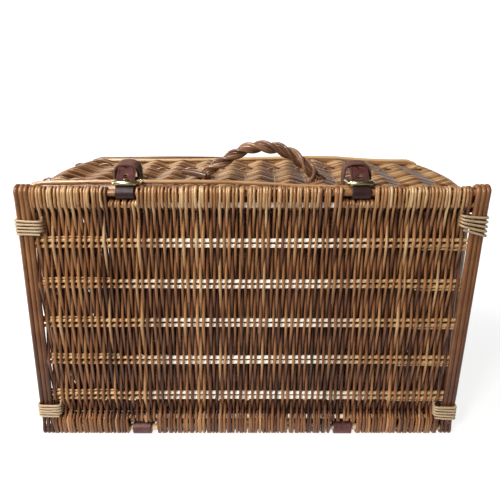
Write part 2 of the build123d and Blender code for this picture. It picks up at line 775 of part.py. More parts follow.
turn_points = len(cane_points) // CANE_TURNS
print("least gap between the turns of a binding", round(least_gap(cane_points, turn_points), 2))
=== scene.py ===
# Looks of the willow hamper: rods, sticks, cane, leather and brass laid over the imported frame.
# Shapes are worked out in millimetres, in the frame's own axes, and made metres in their meshes.

import random
from math import copysign, cos, exp, pi, radians, sin, tan

import bmesh
import bpy
from mathutils import Matrix, Vector
from mathutils.geometry import interpolate_bezier


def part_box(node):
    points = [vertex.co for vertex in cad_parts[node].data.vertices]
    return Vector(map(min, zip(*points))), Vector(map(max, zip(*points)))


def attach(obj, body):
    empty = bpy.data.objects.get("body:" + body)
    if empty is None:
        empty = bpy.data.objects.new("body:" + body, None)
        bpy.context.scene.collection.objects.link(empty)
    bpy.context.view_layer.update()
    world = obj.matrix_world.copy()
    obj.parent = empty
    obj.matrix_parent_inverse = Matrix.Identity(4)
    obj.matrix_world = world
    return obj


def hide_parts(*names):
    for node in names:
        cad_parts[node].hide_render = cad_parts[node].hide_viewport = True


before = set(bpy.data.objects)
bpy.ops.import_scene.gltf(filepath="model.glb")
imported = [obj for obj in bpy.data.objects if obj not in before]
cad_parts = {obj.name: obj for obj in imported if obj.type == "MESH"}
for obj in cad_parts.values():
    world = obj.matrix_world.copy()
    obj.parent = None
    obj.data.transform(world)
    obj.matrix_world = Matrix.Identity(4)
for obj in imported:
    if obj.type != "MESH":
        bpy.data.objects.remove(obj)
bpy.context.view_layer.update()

MM = 0.001
scene = bpy.context.scene
dice = random.Random(1887)

# Willow of the lid
LID_RODS = 140
LID_ROD_R = (1.6, 2.25)
ROD_STRAY = 0.7
ROD_LEAN = 1.0
ROD_WANDER = 0.5
END_ROD_R = 2.9
END_RODS = 3
END_ROD_PITCH = 4.9
END_ROOM = 1.5
END_ROD_STOP = 12.0
END_ROD_TONE = (0.42, 0.6)
FOOT_ROD_R = 1.85
FOOT_Z = (20.0, 10.0)  # heights between which the rods get their radius at the foot
END_FOOT_Z = (10.0, 50.0)
PAIR_DROP = 3.0
PAIR_R = 1.4
PAIR_STICKS = ((-3.25, 2.2), (3.25, 2.3))  # height from the middle of the pair, radius
PAIR_PASS = 0.7  # part of a pair's half height along which a rod keeps straight
THIRD_STICK_OFF = 7.2
THIRD_STICK_SHORT = 8.0
THIRD_STICK_INNER = (150, 185)
THIRD_STICK_R = (1.5, 0.9)
STICK_SHORT = 3.0
STICK_EASE = 0.1
STICK_BULGE = 3.0
# Painted light and shade on the lid's rods: how much paler in front and darker behind, and over what
# depth
LID_PAINTED_LIGHT = 0.22
LID_PAINTED_LIGHT_DEPTH = 4.0
THIN_STICK_R = 0.8
THIN_STICK_AWAY = 7.6
TAIL = 9.0

# How the lid is out of true: its lean, its ends drawn in by the bindings, its corners spread
LID_LEAN = 0.03
LEAN_Z = 200.0
LID_MID_Z = 153.0
DRAWN_X, DRAWN_RUN = 200.0, 50.0
WAIST_IN, WAIST_Z, WAIST_RUN = 2.6, 232.0, 60.0
SPREAD_OUT, SPREAD_Z, SPREAD_RUN = 2.2, 276.0, 30.0

# Willow of the case
WALL_ROD_PITCH = 2.5
WALL_ROD_R = (1.3, 1.6)
BINDER_W = 4.4
BINDER_R = 1.2
BINDER_PLACES = (33.3, 147.7)  # from the rim to each rod that binds a wall
BINDER_TONE = 0.5
ROW_TONE_STRAY = 0.1
STAKE_R = 1.2
STAKE_SUNK = 2.2
STAKE_STEPS = 9
STAKE_TONE = (0.32, 0.5)
POST_R = 1.8
CORNER_R = 9.0
LONG_BAYS = 25
END_BAYS = 15
BASE_COLUMNS = 18
BASE_PAIRS = 5
BASE_COLUMN_RODS = 10
BASE_ROD_R = (1.6, 1.75)
BASE_ROD_STRAY = 0.12
BASE_LAP = 3.0
BASE_PASS = 3.4
BASE_TOP_IN = 4.0
BASE_STICK_OFF = 2.6
BORDER_RODS = 5
BORDER_ROD_R = 2.8
RIM_RING_R = 4.2
FOOT_RING_R = 4.6
BORDER_TWIST = 2400.0
BORDER_STEP = 9.0
BORDER_EASE = 30.0
BORDER_STRAY = 0.6
# Tones of each border's rods in turn; the dark first rod and the pale last rod stand in for painted
# shade and painted light along the border's top
BORDER_TONES = (0.3, 0.55, 0.5, 0.6, 0.95)
LONG_ROD = (  # x, depth from the middle of the rim, height
    (-238, -1, 302.5), (-215, 1, 307.5), (-60, 2, 308.0),
    (10, 3, 306.0), (60, 4, 303.0), (150, 2, 301.4),
)
LONG_ROD_R = (2.6, 1.7)
ROD_SIDES = 6
BAY_STEPS = 4
# Painted light and shade on the rods of the walls and base: paler where they come out, darker where
# they go in
PAINTED_LIGHT = 0.2

# How the case is out of true: each amount, and the places from none of it to all of it
LIFT_Z = (200, 295)
RIM_LIFT, RIM_LIFT_X, RIM_LIFT_Y = 4.0, (30, -150), (20, -90)
FOOT_LIFT, FOOT_LIFT_X, FOOT_LIFT_Y = 4.0, (210, 110), (20, 110)
FOOT_HUMP, FOOT_HUMP_X, FOOT_HUMP_RUN = 2.0, 90, 60
LEFT_HUMP, LEFT_HUMP_X = 9.0, (-150, -220)
END_SWELL, END_SWELL_X, END_SWELL_Z = 11.0, (170, 240), (0, 120)

# Gaps in the lid's rods
STRAP_GAP = 15.4
STRAP_GAP_SHIFT = -3.0
HINGE_GAP = 15.6

# Cane bindings
CANE_R = 1.35
CANE_TURNS = 5
CANE_PITCH = 3.6
CANE_STRAY = 0.25
CANE_SET = {  # how far each binding is lifted, fanned out and tilted
    "upper_left": (-1.0, 1.0, 0.03),
    "upper_right": (5.0, 1.4, -0.2),
    "lower_left": (-3.0, 0.95, 0.02),
    "lower_right": (-5.0, 1.1, -0.06),
}

# Handle
HANDLE_STRANDS = 3
RODS_IN_STRAND = 3
STRAND_RING_R = 3.5
STRAND_ROD_R = 2.1
STRAND_ROD_RING = 1.6
STRAND_TWIST = -58.0
ROPE_R = 6.9
HANDLE_LEG = 21.0
HANDLE_LEFT_RUN = 52.0
HANDLE_RIGHT_RUN = 38.5
HANDLE_LOW_BEND = 14.0
HANDLE_HIGH_BEND = 60.0
HANDLE_STEP = 2.6
HANDLE_FULLER = 0.18  # how much fuller the handle is at its right end
HANDLE_ROD_SPREAD = (0.85, 1.1)
HANDLE_TONE = (0.3, 0.75)
CUT_END_RISE = 0.8
CUT_END_TONE = (0.25, 0.5)

# Leather and brass
STRAP_W = 20.0
STRAP_T = 2.4
STRAP_SLOPE = 21.0
STRAP_LOOP_R = 5.5
STRAP_STRAIGHT = 41.0
STRAP_BEND = 30.0
STRAP_BEND_TURN = 45.0
STRAP_TIP = 10.0
STRAP_LOOP_END = 405.0
STRAP_LOOP_POINTS = 15
STRAP_TIP_WIDTHS = (0.93, 0.72)
STRAP_HOLES = {20, 21, 26, 31}  # steps along a strap at which it is open
STITCH_IN = 2.2
STITCH_PARTS = (0.2, 0.5, 0.8)
STITCH_R = (0.35, 0.5, 0.35)
STRIP_EDGE = 0.7
STRIP_BORDER = 3.2
HOLE_W = 3.6
HINGE_T = 4.0
RIM_ROD_ROOM = 2.0
RIM_ROD_SHORT = 8.0
RIM_ROD_EASE = 0.3
CHAPE_W = 18.0
CHAPE_T = 2.0
CHAPE_STEP = 6
CHAPE_SLOT = {9, 10, 11, 12}
HEEL_ROOM = 0.25
KEEPER_T = 2.6
KEEPER_FOOT = 4.0
KEEPER_POINTS = 17
KEEPER_TILT = {"left": 0.2, "right": 0.05}
STRAP_LEAN = {"left": -0.16, "right": 0.06}
HINGE_SHIFT = {"left": -2.0, "right": -8.0}
KEEPER_SPREAD = {"left": 0.87, "right": 0.86}
KEEPER_SQUARE = 0.72
KEEPER_SHIFT = {"left": -8.0, "right": 2.8}
WIRE_R = 1.6
WIRE_CORNER_R = 4.5
ROLLER_R = 2.7
ROLLER_BEVEL = 0.6
PRONG_R = 1.25
PRONG_TAPER = 0.4


def millimetres(node):
    low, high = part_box(node)
    return Vector(low) / MM, Vector(high) / MM


def middle(node):
    low, high = millimetres(node)
    return (low + high) / 2


def half_height(node):
    low, high = millimetres(node)
    return (high.z - low.z) / 2


def rise(value, start, finish):
    """0 at the start and 1 at the finish, with soft ends."""
    part = min(1.0, max(0.0, (value - start) / (finish - start)))
    return part * part * (3 - 2 * part)


def graded(ends, count):
    """Even steps from one number to another."""
    first, last = ends
    return [first + (last - first) * i / (count - 1) for i in range(count)]


# Paths

X_AXIS, Y_AXIS = Vector((1, 0, 0)), Vector((0, 1, 0))


def flow(points, steps):
    """Points along a smooth curve that goes through the given ones."""
    knots = [points[0], *points, points[-1]]
    path = [points[0]]
    for before, start, finish, after in zip(knots, knots[1:], knots[2:], knots[3:]):
        leave = start + (finish - before) / 6
        arrive = finish - (after - start) / 6
        path += interpolate_bezier(start, leave, arrive, finish, steps + 1)[1:]
    return path


def round_stick(stick, reach, start, finish, count=5):
    """Points round a stick that lies along X. Angle 0 is its front and 90 its top."""
    turns = [radians(turn) for turn in graded((start, finish), count)]
    return [(stick.y - reach * cos(a), stick.z + reach * sin(a)) for a in turns]


def rounded_path(corners, radii, step):
    """Points along straight runs whose inner corners are rounded by arcs."""
    path = [corners[0]]
    for before, corner, after, radius in zip(corners, corners[1:], corners[2:], radii):
        arrive = (corner - before).normalized()
        leave = (after - corner).normalized()
        turn = arrive.angle(leave)
        back = radius * tan(turn / 2)
        pull = radius * tan(turn / 4) * 4 / 3
        first, last = corner - arrive * back, corner + leave * back
        count = max(3, round(radius * turn / step) + 1)
        path += straight_run(path.pop(), first, step)
        path += interpolate_bezier(first, first + arrive * pull, last - leave * pull, last, count)[1:]
    return path + straight_run(path.pop(), corners[-1], step)


def straight_run(start, finish, step):
    count = max(1, round((finish - start).length / step))
    return [start.lerp(finish, i / count) for i in range(count + 1)]


def run_at(path, i):
    """The way a path goes at one of its points."""
    return (path[min(i + 1, len(path) - 1)] - path[max(i - 1, 0)]).normalized()


def strip_frames(path, across, narrow=()):
    """A placing at each point of a path for a row of points that lies across it."""
    frames = []
    for i, point in enumerate(path):
        run = run_at(path, i)
        turned = Matrix((across, run.cross(across), run)).transposed().to_4x4()
        width = narrow[i] if i in narrow else 1.0
        frames.append(Matrix.Translation(point) @ turned @ Matrix.Scale(width, 4, X_AXIS))
    return frames


def ring_frames(path, radii):
    """A placing of the unit ring at each point of a path, without twist."""
    ahead = [b - a for a, b in zip(path, path[1:])]
    runs = [ahead[0]] + [(a + b) for a, b in zip(ahead, ahead[1:])] + [ahead[-1]]
    turn = Vector((0, 0, 1)).rotation_difference(runs[0])
    frames = []
    before = runs[0]
    for point, run, radius in zip(path, runs, radii):
        turn = before.rotation_difference(run) @ turn
        before = run
        frames.append(Matrix.LocRotScale(point, turn, Vector((radius, radius, radius))))
    return frames


# Meshes

def for_each(value, path):
    """A value for each point of a path, from such a list or from one number."""
    return [value] * len(path) if isinstance(value, (int, float)) else value


def add_rod(bundle, path, radii, shade, sides=ROD_SIDES):
    """Adds a closed rod to a bundle: a ring extruded from point to point of its path."""
    shades = for_each(shade, path)
    bm = bmesh.new()
    tone = bm.verts.layers.float.new("shade")
    frames = ring_frames(path, for_each(radii, path))
    bmesh.ops.create_circle(bm, cap_ends=True, segments=sides, radius=1.0, matrix=frames[0])
    for vert in bm.verts:
        vert[tone] = shades[0]
    edges = ends = bm.edges[:]
    for before, after, ring_tone in zip(frames, frames[1:], shades[1:]):
        ring, edges, _ = grow(bm, edges, before, after)
        for vert in ring:
            vert[tone] = ring_tone
    bmesh.ops.contextual_create(bm, geom=edges)
    bmesh.ops.recalc_face_normals(bm, faces=bm.faces)
    for face in bm.faces:
        face.smooth = True
    for edge in ends + edges:
        edge.smooth = False
    rod = bpy.data.meshes.new("rod")
    bm.to_mesh(rod)
    bm.free()
    bundle.from_mesh(rod)
    bpy.data.meshes.remove(rod)


def grow(bm, edges, before, after):
    """Extrudes a row or a ring to the next frame. Gives its new points, edges and faces."""
    grown = bmesh.ops.extrude_edge_only(bm, edges=edges)["geom"]
    points, lines, faces = (
        [g for g in grown if isinstance(g, kind)]
        for kind in (bmesh.types.BMVert, bmesh.types.BMEdge, bmesh.types.BMFace)
    )
    bmesh.ops.transform(bm, matrix=after @ before.inverted(), verts=points)
    far = set(points)
    return points, [line for line in lines if far.issuperset(line.verts)], faces


def add_strip(bm, places, frames, holes=()):
    """Adds a strip: a row of points extruded from frame to frame, open at the steps of holes."""
    row = [bm.verts.new(frames[0] @ Vector((place, 0, 0))) for place in places]
    edges = [bm.edges.new(pair) for pair in zip(row, row[1:])]
    cut = []
    for step, (before, after) in enumerate(zip(frames, frames[1:])):
        _, edges, faces = grow(bm, edges, before, after)
        for face in faces:
            face.smooth = True
            off_centre = (after.inverted() @ face.calc_center_median()).x
            if step in holes and abs(off_centre) < HOLE_W / 2:
                cut.append(face)
    bmesh.ops.delete(bm, geom=cut, context="FACES")
    bmesh.ops.recalc_face_normals(bm, faces=bm.faces)


def new_bundle():
    bundle = bmesh.new()
    bundle.verts.layers.float.new("shade")
    return bundle


def put(name, data):
    """Puts a mesh, a lamp or a camera into the scene."""
    thing = bpy.data.objects.new(name, data)
    scene.collection.objects.link(thing)
    return thing


def put_mesh(name, bm, material):
    mesh = bpy.data.meshes.new(name)
    bm.to_mesh(mesh)
    bm.free()
    mesh.materials.append(material)
    return put(name, mesh)


def finish_piece(name, bm, material, body, slot, nodes=()):
    """Makes a piece of the hamper from a mesh in millimetres, riding on one body."""
    bmesh.ops.scale(bm, vec=(MM, MM, MM), verts=bm.verts)
    piece = put_mesh(name, bm, material)
    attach(piece, body)
    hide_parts(*nodes)
    return piece


def finish_rod(name, path, radii, shade, sides, *riding):
    """Makes a piece of the hamper that is a single rod."""
    bundle = new_bundle()
    add_rod(bundle, path, radii, shade, sides)
    finish_piece(name, bundle, *riding)


def tapered(radius, path, thin=0.85):
    """Radii of a rod from butt to tip, either way round."""
    radii = graded((radius, radius * thin), len(path))
    return radii if dice.random() < 0.5 else radii[::-1]


# Materials

class Value:
    """A shader socket that can stand in Python sums."""

    def __init__(self, finish, socket):
        self.finish = finish
        self.socket = socket

    def maths(self, operation, other):
        return self.finish.node("Math", {0: self, 1: other}, operation=operation)

    def __add__(self, other):
        return self.maths("ADD", other)

    __radd__ = __add__

    def __sub__(self, other):
        return self.maths("SUBTRACT", other)

    def __mul__(self, other):
        return self.maths("MULTIPLY", other)


class Finish:
    """A material, built node by node round one shader."""

    def __init__(self, name):
        self.material = bpy.data.materials.new(name)
        self.material.use_nodes = True
        self.tree = self.material.node_tree
        self.shader = self.tree.nodes["Principled BSDF"]

    def node(self, kind, sockets, output=0, **settings):
        made = self.tree.nodes.new("ShaderNode" + kind)
        for key, value in settings.items():
            setattr(made, key, value)
        for key, value in sockets.items():
            self.feed(made.inputs[key], value)
        return Value(self, made.outputs[output])

    def feed(self, socket, value):
        if isinstance(value, Value):
            self.tree.links.new(value.socket, socket)
        else:
            socket.default_value = value

    def place(self):
        return self.node("TexCoord", {}, "Object")

    def measure(self, axis):
        return self.node("SeparateXYZ", {"Vector": self.place()}, axis)

    def rod_tone(self):
        return self.node("Attribute", {}, "Fac", attribute_name="shade")

    def fibre(self, run, across, along, detail, roughness=0.5):
        """Noise drawn out so that it follows the run of a rod."""
        scale = [across] * 3
        scale[run] = along
        drawn_out = self.node("Mapping", {"Vector": self.place(), "Scale": scale})
        return self.noise(1.0, detail, roughness, drawn_out)

    def noise(self, scale, detail=4.0, roughness=0.5, vector=None):
        sockets = {"Scale": scale, "Detail": detail, "Roughness": roughness}
        return self.node("TexNoise", {"Vector": vector or self.place(), **sockets})

    def ramp(self, factor, stops):
        colour = self.node("ValToRGB", {"Fac": factor})
        elements = colour.socket.node.color_ramp.elements
        while len(elements) < len(stops):
            elements.new(1.0)
        for element, stop in zip(elements, stops):
            element.position, element.color = stop
        return colour

    def mixed(self, factor, first, second, blend="MIX"):
        sockets = {0: factor, 6: first, 7: second}
        return self.node("Mix", sockets, 2, data_type="RGBA", blend_type=blend)

    def between(self, value, low, high):
        """0 below low and 1 above high."""
        return self.node("MapRange", {"Value": value, "From Min": low, "From Max": high})

    def bump(self, height, strength, distance):
        return self.node("Bump", {"Height": height, "Strength": strength, "Distance": distance})

    def shade(self, **sockets):
        """Feeds the shader's sockets, named with underscores for spaces."""
        for key, value in sockets.items():
            self.feed(self.shader.inputs[key.replace("_", " ")], value)
        return self.material


def srgb(red, green, blue):
    """Linear colour from the 0 to 255 values of a colour card."""
    def linear(v):
        v /= 255
        return v / 12.92 if v <= 0.04045 else ((v + 0.055) / 1.055) ** 2.4
    return linear(red), linear(green), linear(blue), 1.0


WILLOW_COAT = 0.7
LOW_COAT_LOSS = 0.35
LID_TOP = 0.3
LID_PAINTED_LOW_SHADE = 0.38
STREAK_TONE, PATCH_TONE, KNOT_TONE = 0.4, 0.36, 0.55


def willow_finish(name, run, stops, painted_low_shade=0.0):
    """Varnished brown willow. The run is the axis that the rods mostly follow, and the
    tone falls towards the floor as painted shade, by the given amount."""
    look = Finish(name)
    streak = look.fibre(run, 260.0, 9.0, 5.0, 0.6)
    patch = look.noise(38.0, 2.0)
    tone = look.rod_tone() + (streak - 0.5) * STREAK_TONE + (patch - 0.5) * PATCH_TONE
    coat = WILLOW_COAT
    if painted_low_shade:
        # painted shade: the tone falls towards the floor
        fall = look.between(look.measure("Z"), LID_TOP, 0.0)
        tone = tone - fall * painted_low_shade
        coat = WILLOW_COAT + fall * -LOW_COAT_LOSS
    colour = look.ramp(tone, stops)
    grain = look.fibre(run, 900.0, 40.0, 3.0)
    knots = look.between(look.noise(210.0, 1.0), 0.70, 0.78)
    colour = look.mixed(knots * KNOT_TONE, colour, srgb(62, 38, 26))
    return look.shade(
        Base_Color=colour,
        Roughness=0.34 + grain * 0.22,
        Coat_Weight=coat,
        Coat_Roughness=0.18,
        Specular_IOR_Level=0.3,
        Normal=look.bump(grain * 0.6 + streak, 0.35, 0.0004),
    )


WILLOW_STOPS = [
    (0.00, srgb(68, 39, 24)),
    (0.22, srgb(99, 60, 37)),
    (0.45, srgb(139, 93, 58)),
    (0.70, srgb(175, 128, 83)),
    (1.00, srgb(213, 178, 133)),
]
willow_lid = willow_finish("willow_lid_rods", 2, WILLOW_STOPS, LID_PAINTED_LOW_SHADE)
willow_up = willow_finish("willow_rods_upright", 2, WILLOW_STOPS)
willow_across = willow_finish("willow_rods_lengthwise", 0, WILLOW_STOPS)
willow_deep = willow_finish("willow_rods_front_to_back", 1, WILLOW_STOPS)
handle_willow = willow_finish("dark_handle_willow", 0, [
    (0.00, srgb(60, 38, 27)),
    (0.40, srgb(110, 75, 53)),
    (0.75, srgb(158, 120, 91)),
    (1.00, srgb(208, 176, 144)),
])

# Painted light on the peeled sticks: a pool of near white, and glow, in the middle of the lid
PAINTED_POOL_X = (0.07, 0.14)  # metres from the middle of the lid, from pale to brown
PAINTED_POOL_STRAY = 0.08
MIDDLE_GLOW = 0.28


def peeled_finish(name, glow):
    """Pale peeled sticks, painted near white in the middle of the lid as a pool of light, with the
    given painted glow there, and browner towards its ends.
    """
    look = Finish(name)
    out = look.node("Math", {0: look.measure("X")}, operation="ABSOLUTE")
    streak = look.fibre(0, 420.0, 9.0, 4.0)
    patch = look.noise(22.0, 3.0)
    # painted pool of light: 0 in the middle of the lid, rising to 1 towards its ends
    outside_painted_pool = look.between(out + (patch - 0.5) * PAINTED_POOL_STRAY, *PAINTED_POOL_X)
    colour = look.mixed(outside_painted_pool, srgb(250, 246, 236), srgb(226, 188, 138))
    colour = look.mixed((streak - 0.35) * 0.5, colour, srgb(172, 132, 92), "MULTIPLY")
    return look.shade(
        Base_Color=colour,
        Roughness=0.42 + streak * 0.2,
        Emission_Color=look.mixed(outside_painted_pool, srgb(255, 240, 218), (0.0, 0.0, 0.0, 1.0)),
        Emission_Strength=glow,
        Normal=look.bump(streak, 0.3, 0.0004),
    )


peeled = peeled_finish("peeled_lid_sticks", MIDDLE_GLOW)
peeled_inside = peeled_finish("peeled_edge_sticks", 0.0)


def cane_finish():
    look = Finish("split_cane")
    streak = look.fibre(2, 60.0, 700.0, 4.0)
    colour = look.ramp(look.rod_tone() + (streak - 0.5) * 0.5, [
        (0.0, srgb(128, 102, 74)), (0.5, srgb(184, 158, 124)), (1.0, srgb(220, 200, 170)),
    ])
    return look.shade(
        Base_Color=colour,
        Roughness=0.36 + streak * 0.2,
        Normal=look.bump(streak, 0.25, 0.0003),
    )


cane = cane_finish()

# Painted shade on the leather: where it lies, and how dark
PAINTED_SHADE_Y, PAINTED_SHADE_Z, PAINTED_SHADE_TONE = (-0.108, -0.116), (0.28, 0.3), 0.8


def leather_finish(name, dark, light, worn, rough):
    """Leather, with painted shade where it folds over the edge of the lid."""
    look = Finish(name)
    cells = look.node("TexVoronoi", {"Vector": look.place(), "Scale": 900.0})
    mottle = look.noise(90.0, 5.0, 0.6)
    scuff = look.between(look.noise(260.0, 4.0), 0.56, 0.72)
    colour = look.ramp(mottle, [(0.25, dark), (0.75, light)])
    colour = look.mixed(scuff * 0.35, colour, worn)
    # painted shade where the strap folds over the edge of the lid
    painted_shade = look.between(look.measure("Y"), *PAINTED_SHADE_Y) * look.between(look.measure("Z"), *PAINTED_SHADE_Z)
    colour = look.mixed(painted_shade * PAINTED_SHADE_TONE, colour, srgb(38, 20, 19))
    grain = cells + mottle * 0.5
    return look.shade(
        Base_Color=colour,
        Roughness=rough + mottle * 0.15,
        Normal=look.bump(grain, 0.3, 0.0005),
    )


strap_leather = leather_finish(
    "strap_leather", srgb(72, 40, 36), srgb(112, 68, 62), srgb(140, 100, 92), 0.38
)
smooth_side = (strap_leather, "strap_leather")
keeper_leather = leather_finish(
    "keeper_leather_flesh_side", srgb(86, 55, 46), srgb(128, 90, 77), srgb(156, 124, 108), 0.7
)
flesh_side = (keeper_leather, "keeper_leather")


def brass_finish():
    look = Finish("pale_brass")
    cloud = look.noise(160.0, 4.0)
    brushed = look.fibre(0, 900.0, 40.0, 3.0)
    colour = look.mixed(cloud, srgb(196, 186, 136), srgb(232, 226, 186))
    return look.shade(
        Base_Color=colour,
        Metallic=1.0,
        Roughness=0.2 + cloud * 0.16,
        Normal=look.bump(brushed, 0.08, 0.0002),
    )


brass = brass_finish()
thread = Finish("dark_thread").shade(Base_Color=srgb(52, 30, 28), Roughness=0.7)

# Painted light: the floor glows from just in front of the hamper backwards, and the backdrop a little
# more
FLOOR_GLOW, FLOOR_GLOW_Y = 0.86, (-0.36, -0.22)
BACK_GLOW, BACK_GLOW_Y = 0.2, (0.25, 1.6)


def floor_finish():
    """Pale floor that runs up into a lit backdrop, both with painted glow from just in front of the
    hamper backwards.
    """
    look = Finish("pale_floor")
    back = look.measure("Y")
    glow = look.between(back, *FLOOR_GLOW_Y) * FLOOR_GLOW
    glow = glow + look.between(back, *BACK_GLOW_Y) * BACK_GLOW
    return look.shade(
        Base_Color=(0.32, 0.32, 0.32, 1.0),
        Roughness=0.9,
        Emission_Color=look.mixed(glow, (0.0, 0.0, 0.0, 1.0), (1.0, 1.0, 1.0, 1.0)),
        Emission_Strength=1.0,
    )


pale_floor = floor_finish()

# Places read from the frame
top_stick = middle("lid_handle_edge_stick")
bottom_stick = middle("lid_hinge_edge_stick")
upper_inner = middle("lid_handle_inner_stick")
lower_inner = middle("lid_hinge_inner_stick")
edge_r = half_height("lid_handle_edge_stick")
inner_r = half_height("lid_handle_inner_stick")
pair_names = [f"lid_stick_pair_{i}" for i in range(1, 6)]
pair_heights = [middle(name).z - PAIR_DROP for name in pair_names]
pair_pass = half_height(pair_names[0]) * PAIR_PASS
lid_low, lid_high = millimetres("lid_weave")
strap_x = {side: middle(f"{side}_strap").x for side in ("left", "right")}
strap_gap_x = {side: x + STRAP_GAP_SHIFT for side, x in strap_x.items()}
hinge_x = {side: middle(f"{side}_hinge_loop").x + HINGE_SHIFT[side] for side in strap_x}
lid_y = top_stick.y
thin_stick_heights = (lower_inner.z + THIN_STICK_AWAY, upper_inner.z - THIN_STICK_AWAY)

# Red-brown, tan and pale rods: the share of rods so far, and the tones
ROD_TONES = ((0.08, 0.2, 0.34), (0.88, 0.4, 0.66), (1.0, 0.7, 0.9))


def shade_of_rod():
    """Tone of one rod: mostly tan, some red-brown, a few pale."""
    kind = dice.random()
    return next(dice.uniform(*tones) for share, *tones in ROD_TONES if kind < share)


# Lid

def leaning(x, z):
    """Where a rod at x stands at height z: the lid leans, its ends are drawn in by the
    bindings and its top corners spread."""
    out = max(0.0, (abs(x) - DRAWN_X) / DRAWN_RUN) ** 2
    waist = WAIST_IN * exp(-(((z - WAIST_Z) / WAIST_RUN) ** 2))
    spread = SPREAD_OUT * max(0.0, (z - SPREAD_Z) / SPREAD_RUN)
    return x + LID_LEAN * (z - LEAN_Z) + copysign(out * (spread - waist), x)


def lid_rod(x, r, side, at_hinge, at_strap):
    """Path of a lid rod from its tail behind the bottom edge to its tail behind the top."""
    inner_reach = inner_r + r
    front, back = lid_y - inner_reach, lid_y + inner_reach
    low = [(back, lower_inner.z + TAIL)]
    if at_hinge:
        low += round_stick(lower_inner, inner_reach, 180, 345)
    else:
        low += round_stick(bottom_stick, edge_r + FOOT_ROD_R, 180, 340)
        low += [(front - STICK_BULGE, lower_inner.z)]
    thin_y = lid_y + side * (THIN_STICK_R + r)
    passes = [(thin_y, thin_stick_heights[0])]
    for i, z in enumerate(pair_heights):
        y = lid_y - side * (-1) ** i * (PAIR_R + r)
        passes += [(y, z - pair_pass), (y, z + pair_pass)]
    passes += [(thin_y, thin_stick_heights[1])]
    if at_strap:
        high = round_stick(upper_inner, inner_reach, 15, 180)
    else:
        high = [(front, upper_inner.z)]
        high += round_stick(top_stick, edge_r + r, 0, 180)
    high += [(back, upper_inner.z - TAIL)]
    lean = dice.uniform(-ROD_LEAN, ROD_LEAN)
    points = []
    for y, z in low + passes + high:
        wander = dice.uniform(-ROD_WANDER, ROD_WANDER) + lean * (z - LID_MID_Z) / LID_MID_Z
        points.append(Vector((leaning(x + wander, z), y, z)))
    return flow(points, 2)


def slimmed(path, radii):
    """Radii of a lid rod, evened out where it turns under the bottom stick."""
    return [r + (FOOT_ROD_R - r) * rise(point.z, *FOOT_Z) for point, r in zip(path, radii)]


def lid_painted_tones(path, shade):
    """Tones along a lid rod, with painted light and shade: paler where it stands out, darker where it
    goes behind.
    """
    outs = [(lid_y - point.y) / LID_PAINTED_LIGHT_DEPTH for point in path]
    return [shade + LID_PAINTED_LIGHT * max(-1.0, min(1.0, out)) for out in outs]


def near_leather(x, places, gap):
    return any(abs(x - place) < gap for place in places.values())


def end_rod(x):
    """Path of a thick rod at an end of the lid, which stays in front of the sticks."""
    low_r, high_r = FOOT_ROD_R, END_ROD_R
    points = [(lid_y + inner_r + low_r, lower_inner.z + TAIL)]
    points += round_stick(bottom_stick, edge_r + low_r, 180, 360)
    points += [(lid_y - PAIR_R - low_r, z) for z in (lower_inner.z, pair_heights[0])]
    points += [(lid_y - PAIR_R - high_r, z) for z in (pair_heights[2], upper_inner.z - END_ROD_STOP)]
    points += round_stick(top_stick, edge_r + high_r, 0, 180)
    points += [(lid_y + inner_r + high_r, upper_inner.z - TAIL)]
    return flow([Vector((leaning(x, z), y, z)) for y, z in points], 3)


bundle = new_bundle()
pitch = (lid_high.x - lid_low.x) / LID_RODS
side = 1
for i in range(LID_RODS):
    x = lid_low.x + (i + 0.5) * pitch + dice.uniform(-ROD_STRAY, ROD_STRAY)
    if abs(x) > lid_high.x - END_RODS * END_ROD_PITCH - END_ROOM:
        continue
    r = dice.uniform(*LID_ROD_R)
    side = -side
    at_hinge = near_leather(leaning(x, bottom_stick.z), hinge_x, HINGE_GAP)
    at_strap = near_leather(leaning(x, top_stick.z), strap_gap_x, STRAP_GAP)
    path = lid_rod(x, r, side, at_hinge, at_strap)
    radii = slimmed(path, tapered(r, path))
    add_rod(bundle, path, radii, lid_painted_tones(path, shade_of_rod()))
for end in (-1, 1):
    for i in range(END_RODS):
        path = end_rod(end * (lid_high.x - END_ROD_R - END_ROD_PITCH * i))
        fuller = END_ROD_R - FOOT_ROD_R
        radii = [FOOT_ROD_R + fuller * rise(point.z, *END_FOOT_Z) for point in path]
        add_rod(bundle, path, radii, dice.uniform(*END_ROD_TONE), 8)
finish_piece("lid_rods", bundle, willow_lid, "lid", "willow", ["lid_weave"])

SWAY_TURN = 9.0  # radians of sway along a stick
SWAY_DEPTH = 0.4


def lengthwise(x_range, y, z, sway, steps=24):
    """Path of a stick along X with the slight sway of grown wood."""
    swing = dice.uniform(0, 2 * pi)
    points = []
    for i, x in enumerate(graded(x_range, steps + 1)):
        wave = sin(swing + SWAY_TURN * i / steps)
        points.append(Vector((x, y + sway * SWAY_DEPTH * wave, z + sway * wave)))
    return points


def stick_reach(z):
    return leaning(lid_low.x + STICK_SHORT, z), leaning(lid_high.x - STICK_SHORT, z)


for name, z in zip(pair_names, pair_heights):
    bundle = new_bundle()
    for offset, radius in PAIR_STICKS:
        path = lengthwise(stick_reach(z), lid_y, z + offset, 0.2)
        add_rod(bundle, path, tapered(radius, path, 0.92), 0.5, 8)
    for end in (-1, 1):
        run = (end * (lid_high.x - THIRD_STICK_SHORT), end * dice.uniform(*THIRD_STICK_INNER))
        path = lengthwise(run, lid_y, z - end * THIRD_STICK_OFF, 0.3, 12)
        add_rod(bundle, path, graded(THIRD_STICK_R, len(path)), 0.5)
    finish_piece(f"peeled_{name}", bundle, peeled, "lid", "peeled_stick", [name])

